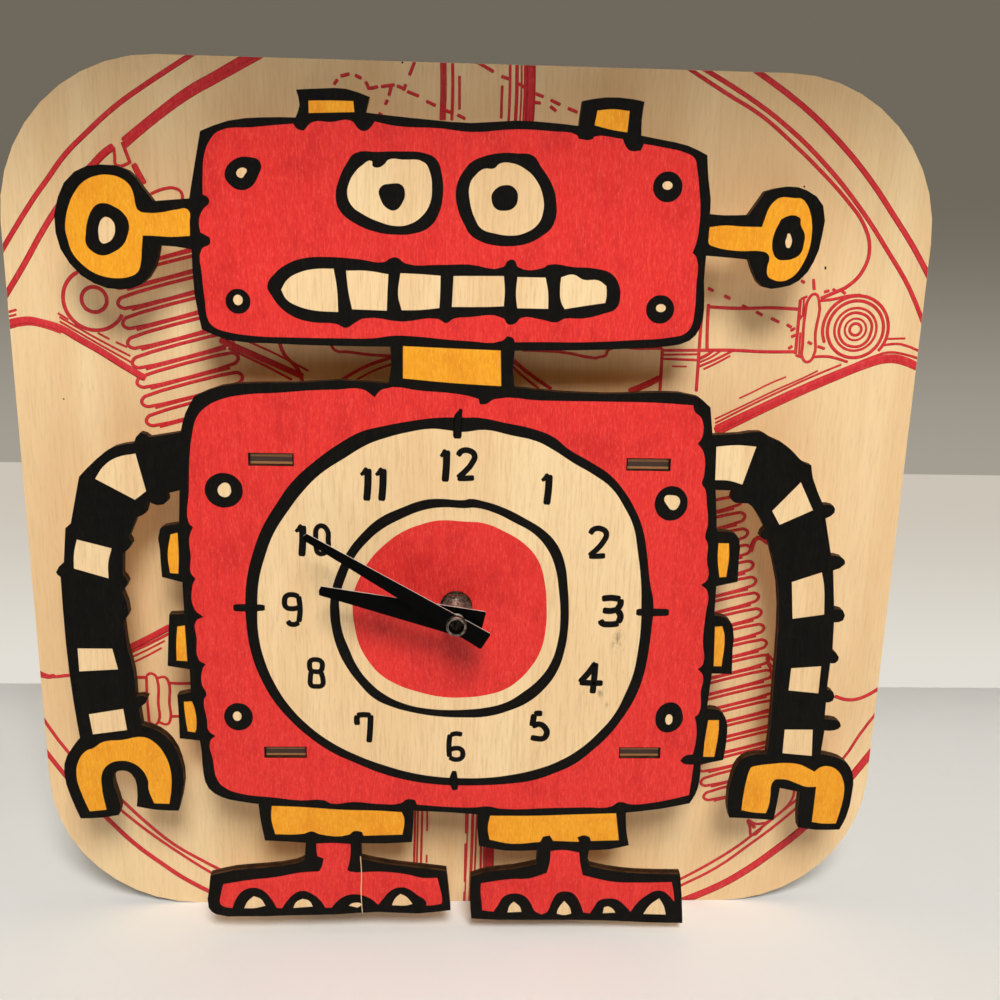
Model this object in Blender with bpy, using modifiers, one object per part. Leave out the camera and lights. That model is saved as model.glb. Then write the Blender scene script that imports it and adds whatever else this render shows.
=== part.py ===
"""Wall clock in the shape of a toy robot.

A flat plywood robot with the dial on its chest stands on two spacer strips in front of a rounded plywood panel,
and a battery quartz movement sits between the two layers. Metres, +Z up, the dial faces -Y. The origin is the
point where a wall hook bears in the hanging keyhole, on the panel's back face.
"""
import math

import bmesh
import bpy
from mathutils import Matrix, Vector

MM = 0.001

# Plywood layers. Places on the layers are (x, z) in millimetres from the middle of the panel.
PLY = 3.2
PANEL_WIDTH = 292.0
PANEL_HEIGHT = 290.0
PANEL_CORNER_RADIUS = 50.0
LAYER_GAP = 16.0
HOOK_HEIGHT = 104.0
KEYHOLE_HEAD_DIAMETER = 9.0
KEYHOLE_SLOT_WIDTH = 4.6
KEYHOLE_DROP = 11.0
FIGURE_SCALE = 1.0
SHAFT = (-4.3, -22.3)

# Spacer strips: (height, left tab, right tab) of each row.
SPACER_ROWS = {"upper_spacer": (25.7, -62.5, 55.8), "lower_spacer": (-74.6, -60.5, 58.6)}
TAB_WIDTH = 13.0
TAB_CLEARANCE = 0.2
TAB_RECESS = 1.0
SPACER_OVERHANG = 5.0

# Running and seating gaps.
SEAT_GAP = 0.3
FIT_GAP = 0.15

# Quartz movement.
BATTERY_DIAMETER = 14.2
BATTERY_LENGTH = 49.2
BATTERY_TIP_DIAMETER = 5.4
BATTERY_TIP_LENGTH = 1.2
CASE_WALL = 1.2
CASE_DEPTH = 14.5
COVER_THICKNESS = 1.2
BAY_ROOM = 0.45
CONTACT_ROOM = 2.2
CONTACT_THICKNESS = 0.4
CONTACT_WIDTH = 9.0
PANEL_OPENING_ROOM = 2.0
RUBBER_WASHER_THICKNESS = 1.0
RUBBER_WASHER_DIAMETER = 22.0
BEARING_DEPTH = 0.7

# Bushing, its nut and washer, and the hands, by their height over the dial.
BUSHING_DIAMETER = 7.2
BUSHING_BORE = 5.3
BUSHING_FLANGE_DIAMETER = 12.0
BUSHING_FLANGE_THICKNESS = 1.0
BUSHING_HEIGHT = 10.0
FLAT_WASHER_DIAMETER = 10.6
FLAT_WASHER_THICKNESS = 0.5
HEX_NUT_WIDTH = 9.0
HEX_NUT_THICKNESS = 2.2
HOUR_PIPE_DIAMETER = 5.0
HOUR_PIPE_BORE = 3.5
HOUR_HAND_HEIGHT = 13.0
MINUTE_ARBOR_DIAMETER = 3.2
MINUTE_HAND_HEIGHT = 15.8
HAND_THICKNESS = 0.5
HAND_COLLAR_LENGTH = 2.0
HAND_COLLAR_WALL = 0.8
HAND_NUT_DIAMETER = 6.4
HAND_NUT_LENGTH = 2.2
HAND_NUT_RECESS = 1.2
HAND_NUT_MOUTH_DIAMETER = 4.8
ARBOR_TIP_HEIGHT = 17.4
HOUR_HAND_SHAPE = {"reach": 43.3, "tail": 8.4, "tip_width": 3.0, "tail_width": 10.4, "angle": 283.0}
MINUTE_HAND_SHAPE = {"reach": 54.0, "tail": 10.9, "tip_width": 2.3, "tail_width": 6.0, "angle": 301.2}
HAND_TAIL_BEVEL = 0.4

# Wheels: each pair is a wheel and the pinion that it meshes with.
CANNON_MODULE, CANNON_TEETH, MINUTE_WHEEL_TEETH = 0.4, 12, 36
HOUR_WHEEL_TEETH, MINUTE_PINION_TEETH = 32, 8
CENTRE_MODULE, CENTRE_TEETH, THIRD_PINION_TEETH = 0.36, 45, 6
THIRD_MODULE, THIRD_TEETH, FOURTH_PINION_TEETH = 0.3, 48, 6
FOURTH_MODULE, FOURTH_TEETH, FIFTH_PINION_TEETH = 0.36, 30, 6
FIFTH_MODULE, FIFTH_TEETH, ROTOR_PINION_TEETH = 0.3, 36, 6
MINUTE_WHEEL_ANGLE = 20.0
KNOB_ANGLE = -10.0
THIRD_ANGLE = 110.0
FOURTH_ANGLE = 60.0
FIFTH_ANGLE = 0.0
ROTOR_ANGLE = 20.0
WHEEL_THICKNESS = 0.9
PINION_OVERLAP = 0.3
ARBOR_RADIUS = 0.45
KNOB_STEM_DIAMETER = 3.0
KNOB_DIAMETER = 9.6
KNOB_THICKNESS = 1.1
ROTOR_MAGNET_DIAMETER = 5.0
ROTOR_MAGNET_THICKNESS = 1.8

# Motor and electronics.
STATOR_THICKNESS = 1.0
STATOR_LIMB = 2.6
STATOR_HOLE_DIAMETER = 6.2
COIL_LENGTH = 9.6
COIL_DIAMETER = 5.2
BOBBIN_FLANGE_DIAMETER = 6.4
BOBBIN_FLANGE_THICKNESS = 0.8
BOBBIN_TUBE_DIAMETER = 3.0
CORE_DIAMETER = 1.8
BOARD_SIZE = (13.0, 16.0)
BOARD_THICKNESS = 1.0
CRYSTAL_DIAMETER = 2.0
CRYSTAL_LENGTH = 6.0
CHIP_DIAMETER = 5.0
CHIP_THICKNESS = 1.0

ROUND_STEPS = 32
PIN_STEPS = 12

# Depths along Y that follow from the sizes above. The front of each layer is the lower number.
PANEL_FRONT = -PLY
FIGURE_BACK = PANEL_FRONT - LAYER_GAP
DIAL = FIGURE_BACK - PLY
CASE_FRONT = FIGURE_BACK + RUBBER_WASHER_THICKNESS + 2 * SEAT_GAP
CASE_INSIDE = CASE_FRONT + CASE_WALL
CASE_REAR = CASE_FRONT + CASE_DEPTH
COVER_FRONT = CASE_REAR + SEAT_GAP
COVER_REAR = COVER_FRONT + COVER_THICKNESS

# The case is a square that the battery's length sets. Its middle is the shaft.
BAY_LENGTH = BATTERY_LENGTH + 2 * CONTACT_ROOM
CASE_SIDE = BAY_LENGTH + 2 * CASE_WALL
CASE_HALF = CASE_SIDE / 2
BAY_HEIGHT = BATTERY_DIAMETER + 2 * BAY_ROOM
BAY_BOTTOM = -CASE_HALF + CASE_WALL
BAY_TOP = BAY_BOTTOM + BAY_HEIGHT
TRAIN_BOTTOM = BAY_TOP + CASE_WALL
INSIDE_HALF = CASE_HALF - CASE_WALL

WOOD = ((0.72, 0.52, 0.32), 0.62, 0.0)
INK = ((0.02, 0.018, 0.015), 0.55, 0.0)
BRASS = ((0.45, 0.36, 0.22), 0.35, 1.0)
STEEL = ((0.42, 0.4, 0.38), 0.4, 1.0)
PLASTIC = ((0.03, 0.03, 0.032), 0.45, 0.0)
PALE_PLASTIC = ((0.78, 0.76, 0.7), 0.4, 0.0)
RUBBER = ((0.02, 0.02, 0.02), 0.85, 0.0)
COPPER = ((0.55, 0.22, 0.1), 0.35, 1.0)
BOARD = ((0.05, 0.22, 0.1), 0.5, 0.0)
BATTERY_SKIN = ((0.1, 0.13, 0.2), 0.35, 0.2)

parts = None
tools = None


# ---------------------------------------------------------------- scene

def clear_scene():
    for obj in list(bpy.data.objects):
        bpy.data.objects.remove(obj, do_unlink=True)


def new_collection(name):
    collection = bpy.data.collections.new(name)
    bpy.context.scene.collection.children.link(collection)
    return collection


def paint(obj, finish):
    colour, roughness, metallic = finish
    material = bpy.data.materials.new(obj.name)
    material.use_nodes = True
    shader = material.node_tree.nodes["Principled BSDF"]
    shader.inputs["Base Color"].default_value = (*colour, 1.0)
    shader.inputs["Roughness"].default_value = roughness
    shader.inputs["Metallic"].default_value = metallic
    obj.data.materials.clear()
    obj.data.materials.append(material)


def show(obj, finish):
    """Puts a finished piece in the clock's collection with its own material."""
    parts.objects.link(obj)
    paint(obj, finish)
    return obj


def cut(obj, tool, operation="DIFFERENCE"):
    """Cuts a tool out of obj, or joins it on, and keeps the tool as a hidden guide."""
    if tool.name not in tools.objects:
        tools.objects.link(tool)
    tool.hide_render = True
    tool.display_type = "WIRE"
    modifier = obj.modifiers.new(tool.name, "BOOLEAN")
    modifier.operation = operation
    modifier.solver = "EXACT"
    modifier.object = tool
    return obj


def join_on(obj, tool):
    return cut(obj, tool, "UNION")


# ---------------------------------------------------------------- places

def place(x, z, y=0.0):
    """A point of the drawing, in millimetres from the panel's middle, as a place in the clock's frame."""
    return Vector((x * MM, y * MM, (z - HOOK_HEIGHT) * MM))


def by_shaft(u, v):
    return (SHAFT[0] + u, SHAFT[1] + v)


def stepped(start, angle, distance):
    turn = math.radians(angle)
    return (start[0] + distance * math.cos(turn), start[1] + distance * math.sin(turn))


# ---------------------------------------------------------------- flat shapes

def circle(x, z, diameter, count=ROUND_STEPS):
    turns = [2 * math.pi * i / count for i in range(count)]
    return [(x + diameter / 2 * math.cos(t), z + diameter / 2 * math.sin(t)) for t in turns]


def rectangle(x, z, width, height):
    return [(x + sx * width / 2, z + sz * height / 2) for sx, sz in ((-1, -1), (1, -1), (1, 1), (-1, 1))]


def rounded_rectangle(width, height, radius, steps=10):
    points = []
    for corner, (sx, sz) in enumerate(((1, 1), (-1, 1), (-1, -1), (1, -1))):
        cx = sx * (width / 2 - radius)
        cz = sz * (height / 2 - radius)
        for i in range(steps + 1):
            turn = math.pi / 2 * (corner + i / steps)
            points.append((cx + radius * math.cos(turn), cz + radius * math.sin(turn)))
    return points


def keyhole(x, z):
    """A slot whose round top holds the hook, with a larger round mouth below it."""
    slot, head = KEYHOLE_SLOT_WIDTH / 2, KEYHOLE_HEAD_DIAMETER / 2
    top = [math.pi * i / 10 for i in range(11)]
    points = [(x + slot * math.cos(t), z - slot + slot * math.sin(t)) for t in top]
    reach = math.asin(slot / head)
    start = math.pi / 2 + reach
    sweep = 2 * math.pi - 2 * reach
    centre = z - slot - KEYHOLE_DROP
    mouth = [start + sweep * i / 18 for i in range(19)]
    return points + [(x + head * math.cos(t), centre + head * math.sin(t)) for t in mouth]


def flat_curve(name, outline, holes, thickness):
    """A flat curve in its own XY plane. An outline point with a third value is a sharp corner."""
    curve = bpy.data.curves.new(name, "CURVE")
    curve.dimensions = "2D"
    curve.fill_mode = "BOTH"
    curve.extrude = thickness * MM / 2
    curve.resolution_u = 2
    curve.render_resolution_u = 2
    for points in (outline, *holes):
        drawn = any(len(p) == 3 for p in points)
        spline = curve.splines.new("BEZIER" if drawn else "POLY")
        spline.use_cyclic_u = True
        if not drawn:
            spline.points.add(len(points) - 1)
            for target, (x, z) in zip(spline.points, points):
                target.co = (x * MM, z * MM, 0, 1)
            continue
        spline.bezier_points.add(len(points) - 1)
        for target, point in zip(spline.bezier_points, points):
            target.co = (point[0] * MM, point[1] * MM, 0)
            kind = "VECTOR" if len(point) == 3 else "AUTO"
            target.handle_left_type = kind
            target.handle_right_type = kind
    return bpy.data.objects.new(name, curve)


def plate(name, outline, thickness, rear, holes=(), centre=(0, 0)):
    """A flat piece parallel to the dial. Its rear face is at Y = rear and its outline is measured from centre."""
    obj = flat_curve(name, outline, holes, thickness)
    obj.location = place(*centre, rear - thickness / 2)
    obj.rotation_euler = (math.pi / 2, 0, 0)
    return obj


def made_mesh(obj, merge=1e-7):
    """The same piece as a welded mesh, in place of the curve or the modifiers."""
    holder = obj.users_collection
    if not holder:
        bpy.context.scene.collection.objects.link(obj)
    bpy.context.view_layer.update()
    evaluated = obj.evaluated_get(bpy.context.evaluated_depsgraph_get())
    data = bpy.data.meshes.new_from_object(evaluated)
    shape = bmesh.new()
    shape.from_mesh(data)
    bmesh.ops.remove_doubles(shape, verts=shape.verts, dist=merge)
    bmesh.ops.recalc_face_normals(shape, faces=shape.faces)
    shape.to_mesh(data)
    shape.free()
    name = obj.name
    matrix = obj.matrix_world.copy()
    bpy.data.objects.remove(obj, do_unlink=True)
    made = bpy.data.objects.new(name, data)
    made.matrix_world = matrix
    return made


# ---------------------------------------------------------------- solid shapes

def turned(name, profile, centre, steps=ROUND_STEPS, closed=False):
    """A round piece about an axis through centre along -Y. The profile holds (radius, y) from its front end
    down its outer side to its rear end, and a closed one comes back up the bore."""
    data = bpy.data.meshes.new(name)
    count = len(profile)
    edges = [(i, i + 1) for i in range(count - 1)]
    if closed:
        edges.append((count - 1, 0))
    data.from_pydata([(radius * MM, 0, -y * MM) for radius, y in profile], edges, [])
    obj = bpy.data.objects.new(name, data)
    screw = obj.modifiers.new("turn", "SCREW")
    screw.axis = "Z"
    screw.steps = steps
    screw.render_steps = steps
    screw.use_merge_vertices = True
    screw.merge_threshold = 1e-6
    screw.use_smooth_shade = True
    obj.location = place(*centre)
    obj.rotation_euler = (math.pi / 2, 0, 0)
    return obj


def ring(name, outer, inner, front, rear, centre, steps=ROUND_STEPS):
    profile = [(outer / 2, front), (outer / 2, rear), (inner / 2, rear), (inner / 2, front)]
    return turned(name, profile, centre, steps, closed=True)


def rod(name, diameter, front, rear, centre, steps=PIN_STEPS):
    profile = [(0, front), (diameter / 2, front), (diameter / 2, rear), (0, rear)]
    return turned(name, profile, centre, steps)


def block(name, x, z, front, rear):
    """A box between the ranges x and z, in millimetres from the panel's middle, and the depths front and rear."""
    bpy.ops.mesh.primitive_cube_add(size=1)
    obj = bpy.context.object
    for holder in list(obj.users_collection):
        holder.objects.unlink(obj)
    obj.name = name
    size = (x[1] - x[0], rear - front, z[1] - z[0])
    obj.data.transform(Matrix.Diagonal((*[s * MM for s in size], 1)))
    obj.location = place((x[0] + x[1]) / 2, (z[0] + z[1]) / 2, (front + rear) / 2)
    return obj


def shaft_block(name, u, v, front, rear):
    """A box measured from the shaft."""
    x = (SHAFT[0] + u[0], SHAFT[0] + u[1])
    z = (SHAFT[1] + v[0], SHAFT[1] + v[1])
    return block(name, x, z, front, rear)


# ---------------------------------------------------------------- gears

def gear_outline(teeth, module, phase):
    """Straight-sided teeth with generous backlash. phase is the angle of one tooth's middle, in radians."""
    pitch = 2 * math.pi / teeth
    tip = module * (teeth / 2 + 0.85)
    root = module * (teeth / 2 - 1.15)
    points = []
    for i in range(teeth):
        middle = phase + i * pitch
        for radius, share in ((root, -0.25), (tip, -0.1), (tip, 0.1), (root, 0.25)):
            turn = middle + share * pitch
            points.append((radius * math.cos(turn), radius * math.sin(turn)))
    return points


def meshed_phase(teeth, phase, angle, mate_teeth):
    """The phase of a gear that meshes with one of the given teeth and phase, in the direction angle from it."""
    pitch = 2 * math.pi / teeth
    mate_pitch = 2 * math.pi / mate_teeth
    turn = math.radians(angle)
    share = ((turn - phase) / pitch) % 1.0
    return turn + math.pi - mate_pitch * (0.5 - share)


def gear(name, teeth, module, phase, front, rear, centre, bore=None):
    holes = [circle(0, 0, bore, PIN_STEPS * 2)] if bore else []
    shape = plate(name, gear_outline(teeth, module, phase), rear - front, rear, holes, centre)
    return made_mesh(shape)


def gap(module, wheel, pinion):
    return module * (wheel + pinion) / 2


MINUTE_WHEEL_DISTANCE = gap(CANNON_MODULE, CANNON_TEETH, MINUTE_WHEEL_TEETH)
HOUR_MODULE = 2 * MINUTE_WHEEL_DISTANCE / (HOUR_WHEEL_TEETH + MINUTE_PINION_TEETH)
MINUTE_WHEEL_AT = stepped(SHAFT, MINUTE_WHEEL_ANGLE, MINUTE_WHEEL_DISTANCE)
KNOB_AT = stepped(MINUTE_WHEEL_AT, KNOB_ANGLE, MINUTE_WHEEL_DISTANCE)
THIRD_AT = stepped(SHAFT, THIRD_ANGLE, gap(CENTRE_MODULE, CENTRE_TEETH, THIRD_PINION_TEETH))
FOURTH_AT = stepped(THIRD_AT, FOURTH_ANGLE, gap(THIRD_MODULE, THIRD_TEETH, FOURTH_PINION_TEETH))
FIFTH_AT = stepped(FOURTH_AT, FIFTH_ANGLE, gap(FOURTH_MODULE, FOURTH_TEETH, FIFTH_PINION_TEETH))
ROTOR_AT = stepped(FIFTH_AT, ROTOR_ANGLE, gap(FIFTH_MODULE, FIFTH_TEETH, ROTOR_PINION_TEETH))

# Depth of each wheel's front face. The levels step back from the bushing's flange to the rotor.
LEVEL_STEP = WHEEL_THICKNESS + 0.35
FLANGE_FRONT = CASE_INSIDE + SEAT_GAP
HOUR_LEVEL = FLANGE_FRONT + BUSHING_FLANGE_THICKNESS + SEAT_GAP
MINUTE_LEVEL = HOUR_LEVEL + LEVEL_STEP
CENTRE_LEVEL = MINUTE_LEVEL + LEVEL_STEP + SEAT_GAP
THIRD_LEVEL = CENTRE_LEVEL + LEVEL_STEP
FOURTH_LEVEL = THIRD_LEVEL + LEVEL_STEP
FIFTH_LEVEL = FOURTH_LEVEL + LEVEL_STEP
MAGNET_LEVEL = FIFTH_LEVEL - LEVEL_STEP - ROTOR_MAGNET_THICKNESS - SEAT_GAP


# ---------------------------------------------------------------- plywood layers

# The robot's cut outline, clockwise from the left knob. A third value marks a sharp corner.
KNOB_LEFT = [(-52.6, 127, 1), (-51.4, 130.5), (-52.3, 134.6, 1), (-45, 135.1), (-38, 135.2), (-31.4, 133.2, 1),
             (-32.5, 128.9, 1)]
HEAD_TOP = [(-25, 128.2), (-14, 127.4), (-2, 126.8), (11, 127.8), (21, 127.5), (29.5, 126.8, 1)]
KNOB_RIGHT = [(29.8, 130), (30.2, 133.7, 1), (37, 134.9), (45, 134.6), (48.3, 134, 1), (47.8, 129),
              (47.9, 124.6, 1)]
HEAD_TOP_RIGHT = [(54, 123.6), (62, 122.1), (67.8, 119.6, 1), (68.6, 113), (69.7, 107), (69.8, 102.8, 1)]
EAR_RIGHT = [(75, 102.5), (81.5, 102.8, 1), (83.5, 105.8), (86, 109.7, 1), (93, 111.3), (98.5, 110.3), (103.8, 106),
             (104.3, 97), (102.5, 89.5), (98.5, 83.8), (93, 81.6), (87.5, 81.7), (84.6, 85.3), (82.7, 89.7, 1),
             (76, 90.2), (69.5, 90.6, 1)]
HEAD_BOTTOM_RIGHT = [(69.4, 83), (70, 74.5), (69.2, 69), (66.2, 65), (60, 63.2), (50, 62.3), (32, 61.4),
                     (12.5, 60.9, 1)]
NECK_RIGHT = [(12.2, 55), (12.7, 49.7, 1)]
BODY_TOP_RIGHT = [(21, 48.8), (34, 48.1), (46, 48.1), (58, 48.8), (70, 47.6), (71.8, 46.4, 1), (74.2, 44.3, 1),
                  (75.5, 35.5, 1)]
ARM_RIGHT_OUTER = [(84, 36), (91, 36.7), (94.2, 34.9), (98, 33.3), (102, 30.2), (105, 27.3), (107.9, 26.2, 1),
                   (108.8, 22), (113, 13.2, 1), (116.4, 12.9), (116.9, 10.6), (114.2, 8.7, 1), (117.3, -3.8, 1),
                   (121, -4.5), (122.2, -6.6), (118.5, -8.9, 1), (120.2, -22.4, 1), (123.2, -22.8), (123.6, -26.2),
                   (120.6, -27, 1), (121.1, -36.8, 1), (123.5, -39.3), (122.6, -41.4), (120.8, -41.5, 1),
                   (120.6, -51, 1), (122.9, -52), (123, -55.2), (120.8, -55.8, 1), (120.9, -62, 1), (125.2, -62.4),
                   (126.8, -64.4), (124.8, -66), (121.3, -66.1, 1), (120.8, -74.9, 1)]
CLAW_RIGHT = [(125.5, -75.9), (130, -78.1), (132.8, -82.5), (133.3, -90), (132.2, -99), (130.3, -103.9, 1),
              (122, -104), (115.6, -103, 1), (115, -97), (115, -89.4, 1), (107.9, -87.8, 1), (107.4, -94),
              (106.8, -100.2, 1), (98, -99.5), (91.2, -99.2, 1), (90.2, -95), (91.1, -83), (92.9, -78.2), (96, -75.7),
              (102.3, -75, 1)]
ARM_RIGHT_INNER = [(102.6, -66), (102.4, -48), (102.2, -30), (100.7, -14), (96.2, 1.2, 1), (93.4, 2.4),
                   (94.8, 5.3, 1), (91.8, 10.2), (88.6, 13.4), (84.5, 13.5), (83, 15), (83.7, 17.6, 1),
                   (77.8, 17.7, 1)]
BUMPS_RIGHT = [(79.2, 4, 1), (84.5, 3.5), (86.6, 1.5), (87.1, -5), (87.3, -13.1, 1), (80.4, -14.7, 1),
               (80.5, -24.8, 1), (84.4, -25.6), (86.9, -28.5), (87.5, -37), (87.9, -45.6, 1), (81.2, -45.4, 1),
               (80.4, -58.4, 1), (84, -58.6), (87, -61.5), (88, -67), (87.4, -77.2, 1), (79.8, -78.9, 1)]
BODY_BOTTOM_RIGHT = [(79.8, -85), (78.7, -90.3), (76.9, -93.7, 1), (67, -95.8), (55.1, -97.3, 1)]
HIP_RIGHT = [(55.6, -104), (56.8, -109.9, 1), (50, -111.5), (43.1, -111.8, 1)]
FOOT_RIGHT = [(42.7, -115.5), (43.7, -118.1, 1), (50, -119.7), (60, -121), (75.5, -121.4, 1), (76.6, -130),
              (77.6, -141.1, 1), (66, -140.8), (48, -139.8), (30, -139.5), (12, -139.4), (2.6, -138.8, 1),
              (2, -130), (2.1, -122.2, 1), (8, -120.2), (17, -119.1), (24.9, -117.3, 1), (25.1, -111.8, 1)]
HIP_RIGHT_INNER = [(14, -111.9), (4.8, -110, 1), (4.1, -103), (4, -97.9, 1), (-7, -97), (-17.7, -96.5, 1)]
HIP_LEFT = [(-17.9, -103), (-18.3, -108.5, 1), (-27, -109), (-35.7, -108.9, 1), (-35.5, -115, 1)]
FOOT_LEFT = [(-26, -117.2), (-14, -118.8), (-6.3, -119.9, 1), (-5.5, -127), (-4.7, -135.4, 1), (-16, -136.7),
             (-30, -136), (-44, -136.9), (-60, -137.2), (-78, -137.5), (-86, -136.6), (-88.4, -134), (-88, -127),
             (-87.3, -121.4, 1), (-79, -119.3), (-68, -118.3), (-58, -116.7), (-55, -115.3, 1), (-54.5, -108.7, 1)]
HIP_LEFT_OUTER = [(-61, -108.2), (-68.3, -107.8, 1), (-69.4, -101), (-70.1, -93.9, 1)]
BODY_BOTTOM_LEFT = [(-77, -92.8), (-82, -91.4), (-86.4, -88.1), (-87.9, -83), (-88.2, -75), (-88.6, -70.4, 1)]
BUMPS_LEFT = [(-95.2, -69.6, 1), (-95.1, -61), (-95.2, -54, 1), (-90.8, -53, 1), (-90.8, -44.9, 1),
              (-97.8, -43.7, 1), (-97.1, -34), (-96.4, -25.9, 1), (-91.6, -25.6, 1), (-91.7, -14.9, 1),
              (-98, -13.2, 1), (-98.2, -4), (-97.8, 2.8), (-95, 4), (-91.8, 4.5, 1)]
ARM_LEFT_INNER = [(-91.1, 15.4, 1), (-95.3, 14.3, 1), (-94.9, 12), (-98.2, 10.5), (-101.2, 12, 1), (-101.9, 8),
                  (-104.8, 6.5, 1), (-107.6, 0, 1), (-106.8, -2.2), (-109.8, -5.5, 1), (-110.3, -12.4, 1),
                  (-108.8, -15), (-110.8, -18.2, 1), (-109.2, -25.6), (-111, -28.4, 1), (-110.4, -37),
                  (-108.8, -46), (-108.6, -54.6, 1), (-104.9, -54.9), (-107.9, -58.8, 1), (-107.3, -64.9, 1)]
CLAW_LEFT = [(-102, -67), (-98, -71), (-95.4, -77.5), (-94.6, -86), (-96.9, -96.4, 1), (-104, -96.1),
             (-110.7, -94.8, 1), (-110.2, -87), (-111.8, -82.6), (-114.6, -81.4), (-117.3, -82.5), (-117.7, -87),
             (-116, -95), (-116.8, -98, 1), (-122.5, -99), (-129.6, -99.3, 1), (-132.3, -91), (-133.8, -82),
             (-132.4, -76), (-127.7, -69.7, 1)]
ARM_LEFT_OUTER = [(-128.9, -56), (-129.8, -36), (-129.8, -13.5, 1), (-131.1, -12), (-128.4, -8.6, 1), (-127.1, 2.7, 1),
                  (-125.3, 4.3, 1), (-121.7, 19.4, 1), (-116, 25.1), (-110.5, 29), (-104.3, 30.3, 1), (-102.2, 33.6),
                  (-99.4, 32.2, 1), (-89.9, 33.9, 1)]
BODY_TOP_LEFT = [(-88.2, 39.8), (-85.2, 45.2, 1), (-77, 48.5), (-66, 49.6), (-55, 49.8), (-41, 50.9), (-26, 50.1, 1)]
NECK_LEFT = [(-25.2, 56), (-25.5, 61.4, 1)]
HEAD_BOTTOM_LEFT = [(-44, 61.4), (-62, 61.8), (-74, 62.5), (-82, 65.6, 1), (-83.7, 76), (-84, 89.1, 1)]
EAR_LEFT = [(-88.5, 89.8), (-93.3, 90, 1), (-95.2, 83.4), (-99.5, 78.5), (-105.5, 77), (-113, 78.6), (-119.8, 84.3),
            (-123.2, 93), (-121.8, 103.2), (-116.6, 110.4), (-109, 112.6), (-101.2, 111.1), (-97.3, 106.4),
            (-94.5, 102.7, 1), (-84, 103.7, 1)]
HEAD_TOP_LEFT = [(-82.3, 112), (-80, 122.6, 1), (-72, 125.6), (-62, 126.8)]
FIGURE = (KNOB_LEFT + HEAD_TOP + KNOB_RIGHT + HEAD_TOP_RIGHT + EAR_RIGHT + HEAD_BOTTOM_RIGHT + NECK_RIGHT
          + BODY_TOP_RIGHT + ARM_RIGHT_OUTER + CLAW_RIGHT + ARM_RIGHT_INNER + BUMPS_RIGHT + BODY_BOTTOM_RIGHT
          + HIP_RIGHT + FOOT_RIGHT + HIP_RIGHT_INNER + HIP_LEFT + FOOT_LEFT + HIP_LEFT_OUTER + BODY_BOTTOM_LEFT
          + BUMPS_LEFT + ARM_LEFT_INNER + CLAW_LEFT + ARM_LEFT_OUTER + BODY_TOP_LEFT + NECK_LEFT
          + HEAD_BOTTOM_LEFT + EAR_LEFT + HEAD_TOP_LEFT)


def slots():
    """The four openings in each layer that the spacers' tabs go through."""
    width = TAB_WIDTH + 2 * TAB_CLEARANCE
    height = PLY + 2 * TAB_CLEARANCE
    return [rectangle(x, z, width, height) for z, left, right in SPACER_ROWS.values() for x in (left, right)]


def back_panel():
    outline = rounded_rectangle(PANEL_WIDTH, PANEL_HEIGHT, PANEL_CORNER_RADIUS)
    opening = rectangle(*SHAFT, CASE_SIDE + 2 * PANEL_OPENING_ROOM, CASE_SIDE + 2 * PANEL_OPENING_ROOM)
    holes = [*slots(), opening, keyhole(0, HOOK_HEIGHT)]
    show(plate("back_panel", outline, PLY, 0, holes), WOOD)


def robot_front():
    outline = [(p[0] * FIGURE_SCALE, p[1] * FIGURE_SCALE, *p[2:]) for p in FIGURE]
    holes = [*slots(), circle(*SHAFT, BUSHING_DIAMETER + 2 * SEAT_GAP)]
    show(plate("robot_front", outline, PLY, FIGURE_BACK, holes), INK)


def spacer(name, height, left, right):
    """A strip on edge between the layers, with two tabs into each of them."""
    front = FIGURE_BACK + SEAT_GAP
    rear = PANEL_FRONT - SEAT_GAP
    half = TAB_WIDTH / 2
    tab_front = DIAL + TAB_RECESS
    tab_rear = -TAB_RECESS
    outline = [(left - half - SPACER_OVERHANG, rear)]
    for x in (left, right):
        outline += [(x - half, rear), (x - half, tab_rear), (x + half, tab_rear), (x + half, rear)]
    outline += [(right + half + SPACER_OVERHANG, rear), (right + half + SPACER_OVERHANG, front)]
    for x in (right, left):
        outline += [(x + half, front), (x + half, tab_front), (x - half, tab_front), (x - half, front)]
    outline.append((left - half - SPACER_OVERHANG, front))
    obj = flat_curve(name, outline, [], PLY)
    obj.location = place(0, height)
    show(obj, WOOD)


# ---------------------------------------------------------------- movement case

def wheel_axes():
    return [MINUTE_WHEEL_AT, THIRD_AT, FOURTH_AT, FIFTH_AT, ROTOR_AT]


def movement_case():
    """A tray that opens to the rear, with the wheels' room above and the battery's bay below."""
    side = (-CASE_HALF, CASE_HALF)
    inside = (-INSIDE_HALF, INSIDE_HALF)
    case = shaft_block("movement_case", side, side, CASE_FRONT, CASE_REAR)
    open_rear = CASE_REAR + 1
    cut(case, shaft_block("train_room", inside, (TRAIN_BOTTOM, INSIDE_HALF), CASE_INSIDE, open_rear))
    cut(case, shaft_block("battery_bay", inside, (BAY_BOTTOM, BAY_TOP), CASE_INSIDE, open_rear))
    cut(case, rod("bushing_hole", BUSHING_DIAMETER + 2 * FIT_GAP, CASE_FRONT - 1, CASE_INSIDE + 1, SHAFT, 24))
    for i, axis in enumerate(wheel_axes()):
        hole = 2 * (ARBOR_RADIUS + FIT_GAP)
        cut(case, rod(f"front_bearing_{i}", hole, CASE_INSIDE - BEARING_DEPTH, CASE_INSIDE + 1, axis))
    show(case, PLASTIC)


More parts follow.
